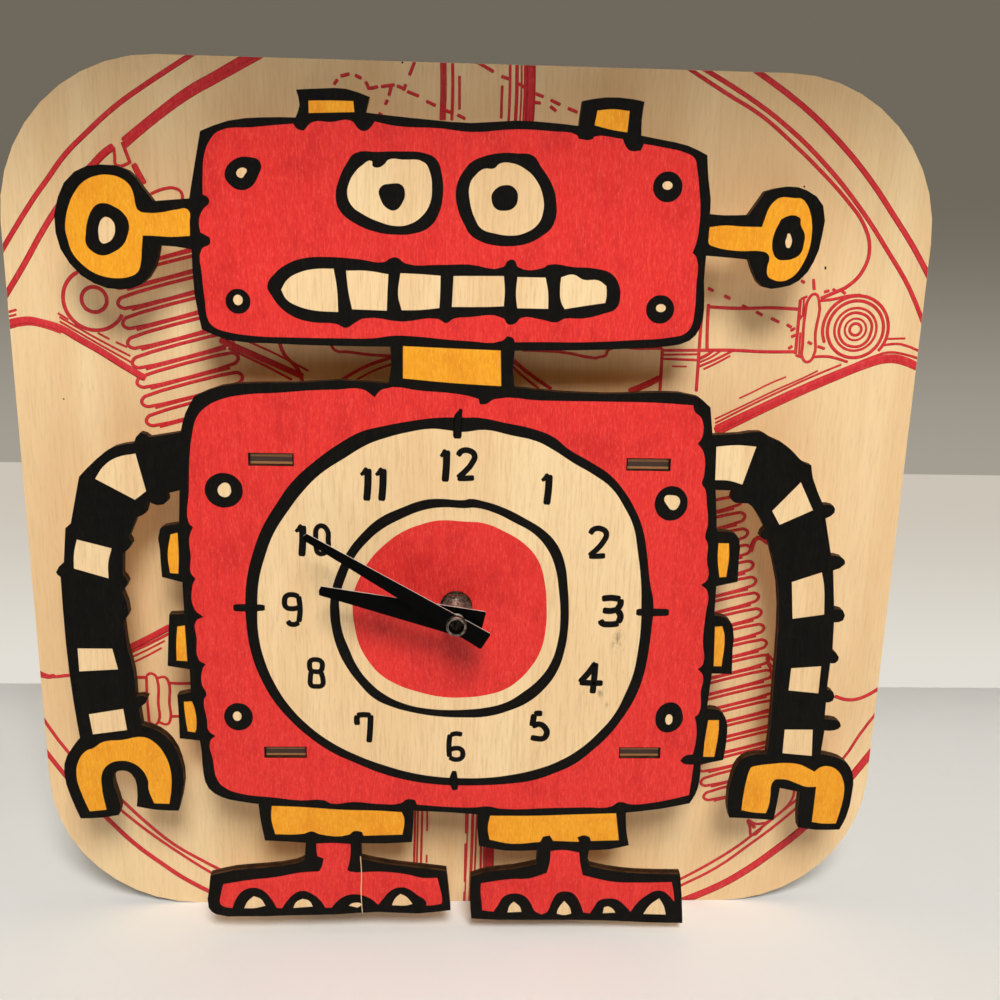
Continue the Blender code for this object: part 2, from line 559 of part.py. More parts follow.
def movement_cover():
    """The plate over the wheels' room. The battery's bay stays open to the rear."""
    side = (-CASE_HALF, CASE_HALF)
    cover = shaft_block("movement_cover", side, (TRAIN_BOTTOM - CASE_WALL, CASE_HALF), COVER_FRONT, COVER_REAR)
    for i, axis in enumerate(wheel_axes()):
        hole = 2 * (ARBOR_RADIUS + FIT_GAP)
        cut(cover, rod(f"rear_bearing_{i}", hole, COVER_FRONT - 1, COVER_FRONT + BEARING_DEPTH, axis))
    stem = KNOB_STEM_DIAMETER + 2 * FIT_GAP
    cut(cover, rod("knob_hole", stem, COVER_FRONT - 1, COVER_REAR + 1, KNOB_AT, 16))
    well = rod("knob_well", KNOB_DIAMETER + 2 * SEAT_GAP, COVER_REAR - 0.6, COVER_REAR + 1, KNOB_AT)
    cut(cover, well)
    show(cover, PLASTIC)


def bushing_and_nuts():
    outer, bore = BUSHING_DIAMETER / 2, BUSHING_BORE / 2
    flange = BUSHING_FLANGE_DIAMETER / 2
    front = DIAL - BUSHING_HEIGHT
    flange_rear = FLANGE_FRONT + BUSHING_FLANGE_THICKNESS
    chamfer = 0.4
    profile = [(outer - chamfer, front), (outer, front + chamfer), (outer, FLANGE_FRONT), (flange, FLANGE_FRONT),
               (flange, flange_rear), (bore, flange_rear), (bore, front)]
    show(turned("threaded_bushing", profile, SHAFT, closed=True), BRASS)
    washer_rear = FIGURE_BACK + SEAT_GAP + RUBBER_WASHER_THICKNESS
    hole = BUSHING_DIAMETER + 2 * SEAT_GAP
    show(ring("rubber_washer", RUBBER_WASHER_DIAMETER, hole, FIGURE_BACK + SEAT_GAP, washer_rear, SHAFT), RUBBER)
    flat_rear = DIAL - SEAT_GAP / 2
    flat_front = flat_rear - FLAT_WASHER_THICKNESS
    show(ring("flat_washer", FLAT_WASHER_DIAMETER, hole, flat_front, flat_rear, SHAFT), BRASS)
    nut_rear = flat_front - SEAT_GAP / 2
    nut = circle(0, 0, HEX_NUT_WIDTH / math.cos(math.pi / 6), 6)
    bore_line = circle(0, 0, BUSHING_DIAMETER + 2 * FIT_GAP)
    show(plate("hex_nut", nut, HEX_NUT_THICKNESS, nut_rear, [bore_line], SHAFT), BRASS)


# ---------------------------------------------------------------- hands

def hand_outline(shape):
    """A straight tapered hand that lies along +X from its tail to its tip, turned to its clock angle."""
    tip, tail = shape["tip_width"] / 2, shape["tail_width"] / 2
    back, bevel = -shape["tail"], HAND_TAIL_BEVEL
    line = [(back + bevel, -tail), (shape["reach"], -tip), (shape["reach"] + 0.4, 0), (shape["reach"], tip),
            (back + bevel, tail), (back, tail - bevel), (back, bevel - tail)]
    turn = math.radians(90 - shape["angle"])
    c, s = math.cos(turn), math.sin(turn)
    return [(x * c - z * s, x * s + z * c) for x, z in line]


def hand(name, shape, height, bore, collar):
    """A thin hand. A collar is a short sleeve behind it that grips the hour wheel's pipe."""
    rear = DIAL - height
    blade = plate(name, hand_outline(shape), HAND_THICKNESS, rear, [circle(0, 0, bore)], SHAFT)
    if collar:
        blade = made_mesh(blade)
        outer = bore + 2 * HAND_COLLAR_WALL
        front = rear - HAND_THICKNESS / 2
        sleeve = ring(name + "_collar", outer, bore, front, rear + HAND_COLLAR_LENGTH, SHAFT)
        join_on(blade, sleeve)
    show(blade, INK)


def hands():
    hand("hour_hand", HOUR_HAND_SHAPE, HOUR_HAND_HEIGHT, HOUR_PIPE_DIAMETER + 2 * FIT_GAP, True)
    hand("minute_hand", MINUTE_HAND_SHAPE, MINUTE_HAND_HEIGHT, MINUTE_ARBOR_DIAMETER + 2 * FIT_GAP, False)
    rear = DIAL - MINUTE_HAND_HEIGHT - HAND_THICKNESS - SEAT_GAP / 2
    front = rear - HAND_NUT_LENGTH
    outer, mouth = HAND_NUT_DIAMETER / 2, HAND_NUT_MOUTH_DIAMETER / 2
    bore = MINUTE_ARBOR_DIAMETER / 2 + FIT_GAP
    recess = front + HAND_NUT_RECESS
    profile = [(outer, front + 0.3), (outer, rear), (bore, rear), (bore, recess), (mouth, recess), (mouth, front),
               (outer - 0.3, front)]
    show(turned("minute_hand_nut", profile, SHAFT, closed=True), BRASS)


# ---------------------------------------------------------------- wheels

PHASES = {}


def set_phases():
    """Turns every wheel so that its teeth sit in its neighbour's gaps."""
    PHASES["cannon"] = 0.0
    minute = meshed_phase(CANNON_TEETH, 0.0, MINUTE_WHEEL_ANGLE, MINUTE_WHEEL_TEETH)
    PHASES["minute"] = minute
    PHASES["knob"] = meshed_phase(MINUTE_WHEEL_TEETH, minute, KNOB_ANGLE, CANNON_TEETH)
    back = MINUTE_WHEEL_ANGLE + 180
    PHASES["hour"] = meshed_phase(MINUTE_PINION_TEETH, 0.0, back, HOUR_WHEEL_TEETH)
    PHASES["third"] = meshed_phase(CENTRE_TEETH, 0.0, THIRD_ANGLE, THIRD_PINION_TEETH)
    PHASES["fourth"] = meshed_phase(THIRD_TEETH, 0.0, FOURTH_ANGLE, FOURTH_PINION_TEETH)
    PHASES["fifth"] = meshed_phase(FOURTH_TEETH, 0.0, FIFTH_ANGLE, FIFTH_PINION_TEETH)
    PHASES["rotor"] = meshed_phase(FIFTH_TEETH, 0.0, ROTOR_ANGLE, ROTOR_PINION_TEETH)


def arbor_ends():
    """The depths between which a wheel's arbor runs, with its ends in the case's and the cover's bearings."""
    return CASE_INSIDE - BEARING_DEPTH + SEAT_GAP, COVER_FRONT + BEARING_DEPTH - SEAT_GAP


def wheel_set(name, centre, wheel, pinion, finish=PALE_PLASTIC):
    """A wheel and its pinion on one arbor. Each is (teeth, module, phase, front, rear)."""
    arbor = rod(name, 2 * ARBOR_RADIUS, *arbor_ends(), centre)
    for part_name, spec in (("wheel", wheel), ("pinion", pinion)):
        teeth, module, phase, front, rear = spec
        join_on(arbor, gear(f"{name}_{part_name}", teeth, module, phase, front, rear, centre))
    show(arbor, finish)


def motion_work():
    hour_rear = HOUR_LEVEL + WHEEL_THICKNESS
    minute_rear = MINUTE_LEVEL + WHEEL_THICKNESS
    hour = gear("hour_wheel", HOUR_WHEEL_TEETH, HOUR_MODULE, PHASES["hour"], HOUR_LEVEL, hour_rear, SHAFT,
                HOUR_PIPE_BORE)
    pipe_front = DIAL - HOUR_HAND_HEIGHT - HAND_THICKNESS - SEAT_GAP
    pipe_rear = hour_rear - WHEEL_THICKNESS / 2
    join_on(hour, ring("hour_pipe", HOUR_PIPE_DIAMETER, HOUR_PIPE_BORE - 0.02, pipe_front, pipe_rear, SHAFT))
    show(hour, PALE_PLASTIC)

    arbor = rod("minute_arbor", MINUTE_ARBOR_DIAMETER, DIAL - ARBOR_TIP_HEIGHT, COVER_FRONT - SEAT_GAP, SHAFT, 24)
    join_on(arbor, gear("cannon_pinion", CANNON_TEETH, CANNON_MODULE, PHASES["cannon"], MINUTE_LEVEL, minute_rear,
                        SHAFT))
    show(arbor, STEEL)

    wheel_set("minute_wheel", MINUTE_WHEEL_AT,
              (MINUTE_WHEEL_TEETH, CANNON_MODULE, PHASES["minute"], MINUTE_LEVEL, minute_rear),
              (MINUTE_PINION_TEETH, HOUR_MODULE, 0.0, HOUR_LEVEL, MINUTE_LEVEL + PINION_OVERLAP))

    knob_front = MINUTE_LEVEL
    knob = rod("setting_knob", KNOB_STEM_DIAMETER, knob_front, COVER_REAR + 0.2, KNOB_AT, 16)
    join_on(knob, gear("setting_pinion", CANNON_TEETH, CANNON_MODULE, PHASES["knob"], MINUTE_LEVEL, minute_rear,
                       KNOB_AT))
    head_front = COVER_REAR - 0.6 + SEAT_GAP
    ridges = 24
    grip = []
    for i in range(2 * ridges):
        radius = KNOB_DIAMETER / 2 - (0.4 if i % 2 else 0.0)
        turn = math.pi * i / ridges
        grip.append((radius * math.cos(turn), radius * math.sin(turn)))
    head = plate("knob_head", grip, KNOB_THICKNESS, head_front + KNOB_THICKNESS, (), KNOB_AT)
    join_on(knob, made_mesh(head))
    show(knob, PALE_PLASTIC)


def going_train():
    """Centre wheel on its friction fit, third, fourth and fifth wheels, and the rotor."""
    hub_bore = MINUTE_ARBOR_DIAMETER + 2 * FIT_GAP
    centre_rear = CENTRE_LEVEL + WHEEL_THICKNESS
    show(gear("centre_wheel", CENTRE_TEETH, CENTRE_MODULE, 0.0, CENTRE_LEVEL, centre_rear, SHAFT, hub_bore),
         PALE_PLASTIC)
    train = (
        ("third_wheel", THIRD_AT, THIRD_TEETH, THIRD_MODULE, THIRD_LEVEL,
         THIRD_PINION_TEETH, CENTRE_MODULE, PHASES["third"], CENTRE_LEVEL),
        ("fourth_wheel", FOURTH_AT, FOURTH_TEETH, FOURTH_MODULE, FOURTH_LEVEL,
         FOURTH_PINION_TEETH, THIRD_MODULE, PHASES["fourth"], THIRD_LEVEL),
        ("fifth_wheel", FIFTH_AT, FIFTH_TEETH, FIFTH_MODULE, FIFTH_LEVEL,
         FIFTH_PINION_TEETH, FOURTH_MODULE, PHASES["fifth"], FOURTH_LEVEL),
    )
    for name, at, teeth, module, level, pinion_teeth, pinion_module, pinion_phase, pinion_level in train:
        wheel_set(name, at, (teeth, module, 0.0, level, level + WHEEL_THICKNESS),
                  (pinion_teeth, pinion_module, pinion_phase, pinion_level, level + PINION_OVERLAP))
    rotor = rod("rotor", 2 * ARBOR_RADIUS, *arbor_ends(), ROTOR_AT)
    join_on(rotor, gear("rotor_pinion", ROTOR_PINION_TEETH, FIFTH_MODULE, PHASES["rotor"], FIFTH_LEVEL,
                        FIFTH_LEVEL + WHEEL_THICKNESS, ROTOR_AT))
    join_on(rotor, rod("rotor_magnet", ROTOR_MAGNET_DIAMETER, MAGNET_LEVEL, MAGNET_LEVEL + ROTOR_MAGNET_THICKNESS,
                       ROTOR_AT, 24))
    show(rotor, STEEL)


# ---------------------------------------------------------------- motor, board and battery

def motor():
    """A stator plate round the rotor, with two arms that hold the coil's core near the case's right wall."""
    rotor = (ROTOR_AT[0] - SHAFT[0], ROTOR_AT[1] - SHAFT[1])
    right = INSIDE_HALF - SEAT_GAP
    coil_u = right - BOBBIN_FLANGE_DIAMETER / 2
    half = COIL_LENGTH / 2 + SEAT_GAP
    ring_half = STATOR_HOLE_DIAMETER / 2 + 1.6
    left = rotor[0] - ring_half
    top, bottom = rotor[1] + half + STATOR_LIMB, rotor[1] - half - STATOR_LIMB
    inner = rotor[0] + ring_half
    outline = [(left, bottom), (right, bottom), (right, rotor[1] - half), (inner, rotor[1] - half),
               (inner, rotor[1] + half), (right, rotor[1] + half), (right, top), (left, top)]
    hole = circle(*rotor, STATOR_HOLE_DIAMETER)
    middle = MAGNET_LEVEL + ROTOR_MAGNET_THICKNESS / 2
    rear = middle + STATOR_THICKNESS / 2
    show(plate("stator", outline, STATOR_THICKNESS, rear, [hole], SHAFT), STEEL)

    def coil_part(name, profile, finish, closed):
        obj = turned(name, profile, by_shaft(coil_u, rotor[1]), 20, closed)
        obj.location = place(*by_shaft(coil_u, rotor[1]), middle)
        obj.rotation_euler = (0, 0, 0)
        show(obj, finish)

    end = COIL_LENGTH / 2 - SEAT_GAP
    tube, flange = BOBBIN_TUBE_DIAMETER / 2, BOBBIN_FLANGE_DIAMETER / 2
    bore = CORE_DIAMETER / 2 + FIT_GAP
    inner_end = end - BOBBIN_FLANGE_THICKNESS
    coil_part("coil_core", [(0, -end), (CORE_DIAMETER / 2, -end), (CORE_DIAMETER / 2, end), (0, end)], STEEL, False)
    coil_part("coil_bobbin", [(bore, -end), (flange, -end), (flange, -inner_end), (tube, -inner_end),
                              (tube, inner_end), (flange, inner_end), (flange, end), (bore, end)],
              PALE_PLASTIC, True)
    winding = inner_end - SEAT_GAP / 2
    coil_part("coil_winding", [(tube + FIT_GAP, -winding), (COIL_DIAMETER / 2, -winding),
                               (COIL_DIAMETER / 2, winding), (tube + FIT_GAP, winding)], COPPER, True)


def electronics():
    """The circuit board in the upper left corner, with its crystal and its chip under a drop of resin."""
    width, height = BOARD_SIZE
    left = -INSIDE_HALF + SEAT_GAP
    top = INSIDE_HALF - SEAT_GAP
    front = CASE_INSIDE + SEAT_GAP
    rear = front + BOARD_THICKNESS
    show(shaft_block("circuit_board", (left, left + width), (top - height, top), front, rear), BOARD)
    parts_rear = rear + SEAT_GAP / 2
    chip_at = by_shaft(left + width / 2, top - height * 0.68)
    radius = CHIP_DIAMETER / 2
    drop = [(0, parts_rear), (radius, parts_rear), (radius * 0.8, parts_rear + CHIP_THICKNESS * 0.6),
            (radius * 0.4, parts_rear + CHIP_THICKNESS), (0, parts_rear + CHIP_THICKNESS)]
    show(turned("clock_chip", drop, chip_at, 20), PLASTIC)
    end = CRYSTAL_LENGTH / 2
    can = CRYSTAL_DIAMETER / 2
    crystal = turned("quartz_crystal", [(0, -end), (can, -end), (can, end), (0, end)], chip_at, 16)
    crystal.location = place(*by_shaft(left + width / 2, top - height * 0.22), parts_rear + can)
    crystal.rotation_euler = (0, math.pi / 2, 0)
    show(crystal, STEEL)


def battery_and_contacts():
    """An AA cell across the bay, its plus end to the left, between two sprung contact strips."""
    middle_v = (BAY_BOTTOM + BAY_TOP) / 2
    radius, tip = BATTERY_DIAMETER / 2, BATTERY_TIP_DIAMETER / 2
    depth = CASE_INSIDE + BAY_ROOM + radius
    end = BATTERY_LENGTH / 2
    shoulder = end - BATTERY_TIP_LENGTH
    bevel = 0.5
    profile = [(0, -end), (tip, -end), (tip, -shoulder), (radius - bevel, -shoulder), (radius, -shoulder + bevel),
               (radius, end - bevel), (radius - bevel, end), (0, end)]
    cell = turned("battery", profile, by_shaft(0, middle_v))
    cell.location = place(*by_shaft(0, middle_v), depth)
    cell.rotation_euler = (0, -math.pi / 2, 0)
    show(cell, BATTERY_SKIN)
    for name, side in (("positive_contact", -1), ("negative_contact", 1)):
        contact(name, side, middle_v, depth, radius)


def contact(name, side, middle_v, depth, radius):
    """A sprung strip folded back on itself: one leg lies along the bay's end wall, the other bears on the cell."""
    wall = side * (INSIDE_HALF - SEAT_GAP)
    face = side * (BATTERY_LENGTH / 2 + SEAT_GAP)
    strip = side * CONTACT_THICKNESS
    front = CASE_INSIDE + SEAT_GAP
    rear = depth + radius / 2
    tip = depth - radius / 2
    outline = [(wall, front), (wall, rear), (face, rear), (face, tip), (face + strip, tip),
               (face + strip, rear - CONTACT_THICKNESS), (wall - strip, rear - CONTACT_THICKNESS),
               (wall - strip, front)]
    obj = flat_curve(name, outline, [], CONTACT_WIDTH)
    obj.location = place(*by_shaft(0, middle_v))
    show(obj, BRASS)


def main():
    global parts, tools
    clear_scene()
    parts = new_collection("robot_wall_clock")
    tools = new_collection("cutters")
    set_phases()
    back_panel()
    robot_front()
    for name, row in SPACER_ROWS.items():
        spacer(name, *row)
    movement_case()
    movement_cover()
    bushing_and_nuts()
    hands()
    motion_work()
    going_train()
    motor()
    electronics()
    battery_and_contacts()


main()
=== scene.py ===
"""A robot-shaped wall clock: printed birch ply, laser-cut edges and a battery movement."""
import math

import bmesh
import bpy
from mathutils import Matrix, Vector


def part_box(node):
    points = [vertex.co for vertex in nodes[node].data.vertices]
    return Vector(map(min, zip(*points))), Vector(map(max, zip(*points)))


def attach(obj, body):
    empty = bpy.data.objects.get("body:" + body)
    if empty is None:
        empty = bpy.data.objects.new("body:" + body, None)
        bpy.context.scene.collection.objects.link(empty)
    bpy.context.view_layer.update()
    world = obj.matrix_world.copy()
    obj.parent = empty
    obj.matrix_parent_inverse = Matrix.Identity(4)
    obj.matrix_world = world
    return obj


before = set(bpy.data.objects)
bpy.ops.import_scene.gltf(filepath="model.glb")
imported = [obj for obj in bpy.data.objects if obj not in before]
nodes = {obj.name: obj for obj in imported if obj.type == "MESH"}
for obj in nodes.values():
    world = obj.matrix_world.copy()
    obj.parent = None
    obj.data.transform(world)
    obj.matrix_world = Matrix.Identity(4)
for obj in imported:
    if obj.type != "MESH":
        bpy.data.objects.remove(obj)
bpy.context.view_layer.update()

MM = 0.001
HOOK_HEIGHT = 104
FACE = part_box("robot_front")[0].y / MM
PANEL_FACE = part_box("back_panel")[0].y / MM
SHAFT_X, SHAFT_Z = (
    sum(ends) / 2 / MM for ends in zip(*[(p.x, p.z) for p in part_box("threaded_bushing")])
)
BUSHING_DIAMETER = 7.2
PLY = 3.2
# Sizes in millimetres of the ink: its thickness, and how far it stands out of the wood.
INK_THICKNESS = 0.05
INK_PROUD = 0.03
PEN_THICKNESS = 0.03
# Steps from one point of an outline or a stroke to the next.
CURVE_DETAIL = 4


# ---------------------------------------------------------------- materials

def colour(red, green, blue):
    """A paint colour on the 0 to 255 scale as a linear one."""
    return tuple(
        (c / 255 / 12.92 if c / 255 <= 0.04045 else ((c / 255 + 0.055) / 1.055) ** 2.4)
        for c in (red, green, blue)
    ) + (1,)


class Finish:
    """A material under construction: its nodes, and the few steps that every finish here needs."""

    def __init__(self, name, **constants):
        self.material = bpy.data.materials.new(name)
        self.material.use_nodes = True
        self.tree = self.material.node_tree
        self.surface = self.tree.nodes["Principled BSDF"]
        for socket, value in constants.items():
            self.surface.inputs[socket.replace("_", " ")].default_value = value
        self.here = self.node("ShaderNodeTexCoord").outputs["Object"]

    def node(self, kind, settings=(), **inputs):
        made = self.tree.nodes.new(kind)
        for key, value in dict(settings).items():
            setattr(made, key, value)
        for key, value in inputs.items():
            self.feed(made.inputs[key.replace("_", " ")], value)
        return made

    def feed(self, socket, value):
        if isinstance(value, bpy.types.NodeSocket):
            self.tree.links.new(value, socket)
        else:
            socket.default_value = value

    def placed(self, scale, shift=(0, 0, 0)):
        """Object coordinates, stretched and shifted."""
        made = self.node("ShaderNodeMapping", Vector=self.here, Scale=scale, Location=shift)
        return made.outputs["Vector"]

    def noise(self, scale, detail=3, rough=0.5, shift=(0, 0, 0), warp=0):
        made = self.node(
            "ShaderNodeTexNoise",
            Vector=self.placed(scale, shift=shift),
            Scale=1,
            Detail=detail,
            Roughness=rough,
            Distortion=warp,
        )
        return made.outputs["Fac"]

    def ramp(self, value, low, high, first=0.0, last=1.0):
        """The value between low and high, carried to first and last."""
        made = self.node(
            "ShaderNodeMapRange",
            {"interpolation_type": "SMOOTHSTEP"},
            Value=value,
            From_Min=low,
            From_Max=high,
            To_Min=first,
            To_Max=last,
        )
        return made.outputs["Result"]

    def mix(self, share, first, second, blend="MIX"):
        made = self.tree.nodes.new("ShaderNodeMix")
        made.data_type = "RGBA"
        made.blend_type = blend
        self.feed(made.inputs[0], share)
        self.feed(made.inputs[6], first)
        self.feed(made.inputs[7], second)
        return made.outputs[2]

    def combine(self, first, second, operation="ADD"):
        made = self.tree.nodes.new("ShaderNodeMath")
        made.operation = operation
        self.feed(made.inputs[0], first)
        self.feed(made.inputs[1], second)
        return made.outputs[0]

    def facing(self, axis):
        """How far the surface faces along X, Y or Z."""
        normal = self.node("ShaderNodeNewGeometry").outputs["True Normal"]
        return self.node("ShaderNodeSeparateXYZ", Vector=normal).outputs[axis]

    def along(self, axis):
        return self.node("ShaderNodeSeparateXYZ", Vector=self.here).outputs[axis]

    def drive(self, socket, value):
        """Lets a value that varies over the surface set a socket of the shader."""
        self.tree.links.new(value, self.surface.inputs[socket])

    def relief(self, height, strength, depth):
        bump = self.node("ShaderNodeBump", Height=height, Strength=strength, Distance=depth)
        self.drive("Normal", bump.outputs["Normal"])

    def paint(self, value):
        self.drive("Base Color", value)

    def gloss(self, value):
        self.drive("Roughness", value)


BIRCH_PALE = colour(248, 219, 170)
BIRCH_WARM = colour(237, 200, 149)
BIRCH_PORE = colour(196, 156, 108)
CHAR_DARK = colour(40, 24, 14)
CHAR_BROWN = colour(88, 58, 35)
PLY_EDGE = colour(150, 104, 62)
STAIN = colour(110, 92, 70)


def grain(finish, run="Z"):
    """The rotary-cut birch face: figure, streaks, fine fibres and short pores, running along one axis."""
    def stretched(across, along):
        return tuple(along if axis == run else across for axis in "XYZ")

    return {
        "figure": finish.noise(stretched(34, 5), detail=4, rough=0.55, warp=0.6),
        "streaks": finish.noise(stretched(420, 14), detail=4, rough=0.62),
        "fibres": finish.noise(stretched(1500, 90), detail=3, rough=0.7, shift=(5, 5, 5)),
        "pores": finish.noise(stretched(2100, 210), detail=2, rough=0.5),
    }


def bare_birch(finish, layers, pale=BIRCH_PALE, warm=BIRCH_WARM, pore=BIRCH_PORE, strength=1.0):
    """Unprinted wood out of the layers of grain(). A lower strength is a plainer face."""
    base = finish.mix(finish.ramp(layers["figure"], 0.32, 0.68), pale, warm)
    base = finish.mix(finish.ramp(layers["streaks"], 0.44, 0.74, 0, 0.50 * strength), base, warm)
    base = finish.mix(finish.ramp(layers["fibres"], 0.44, 0.70, 0, 0.30 * strength), base, pore)
    return finish.mix(finish.ramp(layers["pores"], 0.58, 0.76, 0, 0.30 * strength), base, pore)


def charred(finish, depth, thickness, low):
    """The laser-cut edge: three plies under a brown char, the middle one darker.

    depth is the coordinate through the sheet and low the sheet's front face in millimetres.
    """
    share = finish.combine(finish.combine(depth, low * MM, "SUBTRACT"), thickness * MM, "DIVIDE")
    middle = finish.combine(finish.ramp(share, 0.30, 0.35), finish.ramp(share, 0.65, 0.70), "SUBTRACT")
    soot = finish.noise((260, 260, 260), detail=5, rough=0.65)
    plies = finish.mix(finish.combine(middle, 0.75, "MULTIPLY"), CHAR_BROWN, CHAR_DARK)
    return finish.mix(finish.ramp(soot, 0.35, 0.7), plies, CHAR_DARK)


def ply_finish(name, low, face_colour=None):
    """A sheet parallel to the wall, with a bare or inked front, a burnt rim and a bare back."""
    finish = Finish(name, Specular_IOR_Level=0.1 if face_colour else 0.4)
    layers = grain(finish)
    bare = bare_birch(finish, layers, strength=0.6)
    edge = charred(finish, finish.along("Y"), PLY, low)
    flat = finish.ramp(finish.combine(finish.facing("Y"), 0, "ABSOLUTE"), 0.5, 0.75)
    shown = bare
    if face_colour:
        front = finish.ramp(finish.facing("Y"), -0.5, -0.75)
        shown = finish.mix(front, bare, inked(finish, face_colour, layers))
    finish.paint(finish.mix(flat, edge, shown))
    finish.gloss(finish.ramp(layers["streaks"], 0.3, 0.7, 0.48, 0.66))
    finish.relief(finish.combine(layers["fibres"], layers["pores"]), 0.35, 0.00006)
    return finish.material


INKS = {
    "red": (colour(229, 46, 41), colour(201, 28, 28), colour(243, 84, 70)),
    "orange": (colour(243, 163, 27), colour(228, 138, 15), colour(250, 190, 62)),
    "black": (colour(11, 9, 6), colour(6, 5, 4), colour(27, 23, 16)),
    "line": (colour(214, 44, 52), colour(196, 30, 40), colour(226, 84, 80)),
}


def inked(finish, ink, layers):
    """Flat ink: darker in clouds and along the streaks, paler where the fibres stand up through it."""
    body, deep, thin = ink
    cloud = finish.noise((95, 95, 60), detail=5, rough=0.65, shift=(3, 1, 2))
    stipple = finish.noise((2300, 2300, 520), detail=3, rough=0.7, shift=(7, 4, 1))
    shown = finish.mix(finish.ramp(layers["streaks"], 0.45, 0.75, 0, 0.38), body, deep)
    shown = finish.mix(finish.ramp(cloud, 0.46, 0.70, 0, 0.65), shown, deep)
    shown = finish.mix(finish.ramp(stipple, 0.50, 0.70, 0, 0.60), shown, thin)
    shown = finish.mix(finish.ramp(stipple, 0.48, 0.30, 0, 0.60), shown, deep)
    return finish.mix(finish.ramp(layers["fibres"], 0.56, 0.78, 0, 0.45), shown, thin)


def ink_finish(name, ink, rough=0.5, shine=0.3):
    """A printed area: ink in the grain of the wood that it lies on."""
    finish = Finish(name, Specular_IOR_Level=shine)
    layers = grain(finish)
    finish.paint(inked(finish, ink, layers))
    finish.gloss(finish.ramp(layers["streaks"], 0.3, 0.7, rough - 0.06, rough + 0.08))
    finish.relief(finish.combine(layers["fibres"], layers["pores"]), 0.4, 0.00006)
    return finish.material


def stained_birch(name, stains):
    """Bare wood with a few finger marks, each (x, z, half width, half height) in millimetres."""
    finish = Finish(name, Specular_IOR_Level=0.3)
    layers = grain(finish)
    shown = bare_birch(finish, layers)
    smear = finish.noise((520, 520, 190), detail=5, rough=0.75, shift=(1, 8, 3))
    for x, z, width, height in stains:
        scale = (1 / (width * MM), 0, 1 / (height * MM))
        centred = finish.placed(scale, shift=(-x / width, 0, -z / height))
        away = finish.node("ShaderNodeVectorMath", {"operation": "LENGTH"}, Vector=centred).outputs["Value"]
        near = finish.ramp(away, 1.0, 0.2)
        patches = finish.ramp(smear, 0.42, 0.66, 0, 0.75)
        shown = finish.mix(finish.combine(near, patches, "MULTIPLY"), shown, STAIN)
    finish.paint(shown)
    finish.gloss(finish.ramp(layers["streaks"], 0.3, 0.7, 0.5, 0.66))
    finish.relief(finish.combine(layers["fibres"], layers["pores"]), 0.4, 0.00006)
    return finish.material


def spacer_finish(name, middle):
    """A level sheet of ply whose tab ends show the plies. middle is its middle's height."""
    finish = Finish(name, Roughness=0.6)
    layers = grain(finish, "X")
    bare = bare_birch(finish, layers, PLY_EDGE, CHAR_BROWN, CHAR_DARK)
    above = finish.combine(finish.along("Z"), (middle - PLY / 2) * MM, "SUBTRACT")
    share = finish.combine(above, PLY * MM, "DIVIDE")
    core = finish.combine(finish.ramp(share, 0.20, 0.28), finish.ramp(share, 0.70, 0.78), "SUBTRACT")
    scorch = finish.noise((900, 900, 2400), detail=4, rough=0.6)
    plies = finish.mix(core, colour(164, 112, 66), colour(58, 32, 17))
    plies = finish.mix(finish.ramp(scorch, 0.5, 0.8, 0, 0.6), plies, CHAR_DARK)
    flat = finish.ramp(finish.combine(finish.facing("Z"), 0, "ABSOLUTE"), 0.5, 0.75)
    finish.paint(finish.mix(flat, plies, bare))
    finish.relief(finish.combine(layers["fibres"], layers["pores"]), 0.4, 0.0001)
    return finish.material


def metal_finish(name, clean, dull, rough, scale):
    """Metal with grime in patches: rougher and duller where it lies."""
    finish = Finish(name, Metallic=1.0)
    grime = finish.noise((scale,) * 3, detail=6, rough=0.7)
    scuff = finish.noise((scale * 4, scale * 0.6, scale * 4), detail=3, rough=0.6, shift=(4, 2, 7))
    finish.paint(finish.mix(finish.ramp(grime, 0.36, 0.64), clean, dull))
    finish.gloss(finish.ramp(grime, 0.3, 0.7, rough, rough + 0.3))
    finish.relief(finish.combine(grime, scuff), 0.3, 0.00005)
    return finish.material


def socket_finish(name, clean, dull, socket_shade, radius):
    """The round hand nut: worn metal outside, and inside the socket of the given radius in millimetres a
    near-black painted shade for its hollow.
    """
    finish = Finish(name, Metallic=1.0)
    grime = finish.noise((900,) * 3, detail=6, rough=0.7)
    centred = finish.placed((1, 0, 1), shift=(-SHAFT_X * MM, 0, -SHAFT_Z * MM))
    away = finish.node("ShaderNodeVectorMath", {"operation": "LENGTH"}, Vector=centred).outputs["Value"]
    worn = finish.mix(finish.ramp(grime, 0.36, 0.64), clean, dull)
    # Painted shade: within the socket's radius the nut is painted near black, as its hollow would be in
    # shade.
    finish.paint(finish.mix(finish.ramp(away, (radius + 0.04) * MM, (radius - 0.04) * MM), worn, socket_shade))
    finish.gloss(finish.ramp(grime, 0.3, 0.7, 0.36, 0.66))
    finish.relief(grime, 0.3, 0.00005)
    return finish.material


def plastic_finish(name, shade, light, rough, scale, **constants):
    """Moulded plastic: two near shades in clouds, and a finely speckled skin."""
    finish = Finish(name, **constants)
    specks = finish.noise((scale,) * 3, detail=4, rough=0.6)
    cloud = finish.noise((60,) * 3, detail=3, shift=(2, 5, 1))
    finish.paint(finish.mix(finish.ramp(cloud, 0.35, 0.65), shade, light))
    finish.gloss(finish.ramp(specks, 0.3, 0.7, rough - 0.06, rough + 0.1))
    finish.relief(specks, 0.25, 0.00004)
    return finish.material


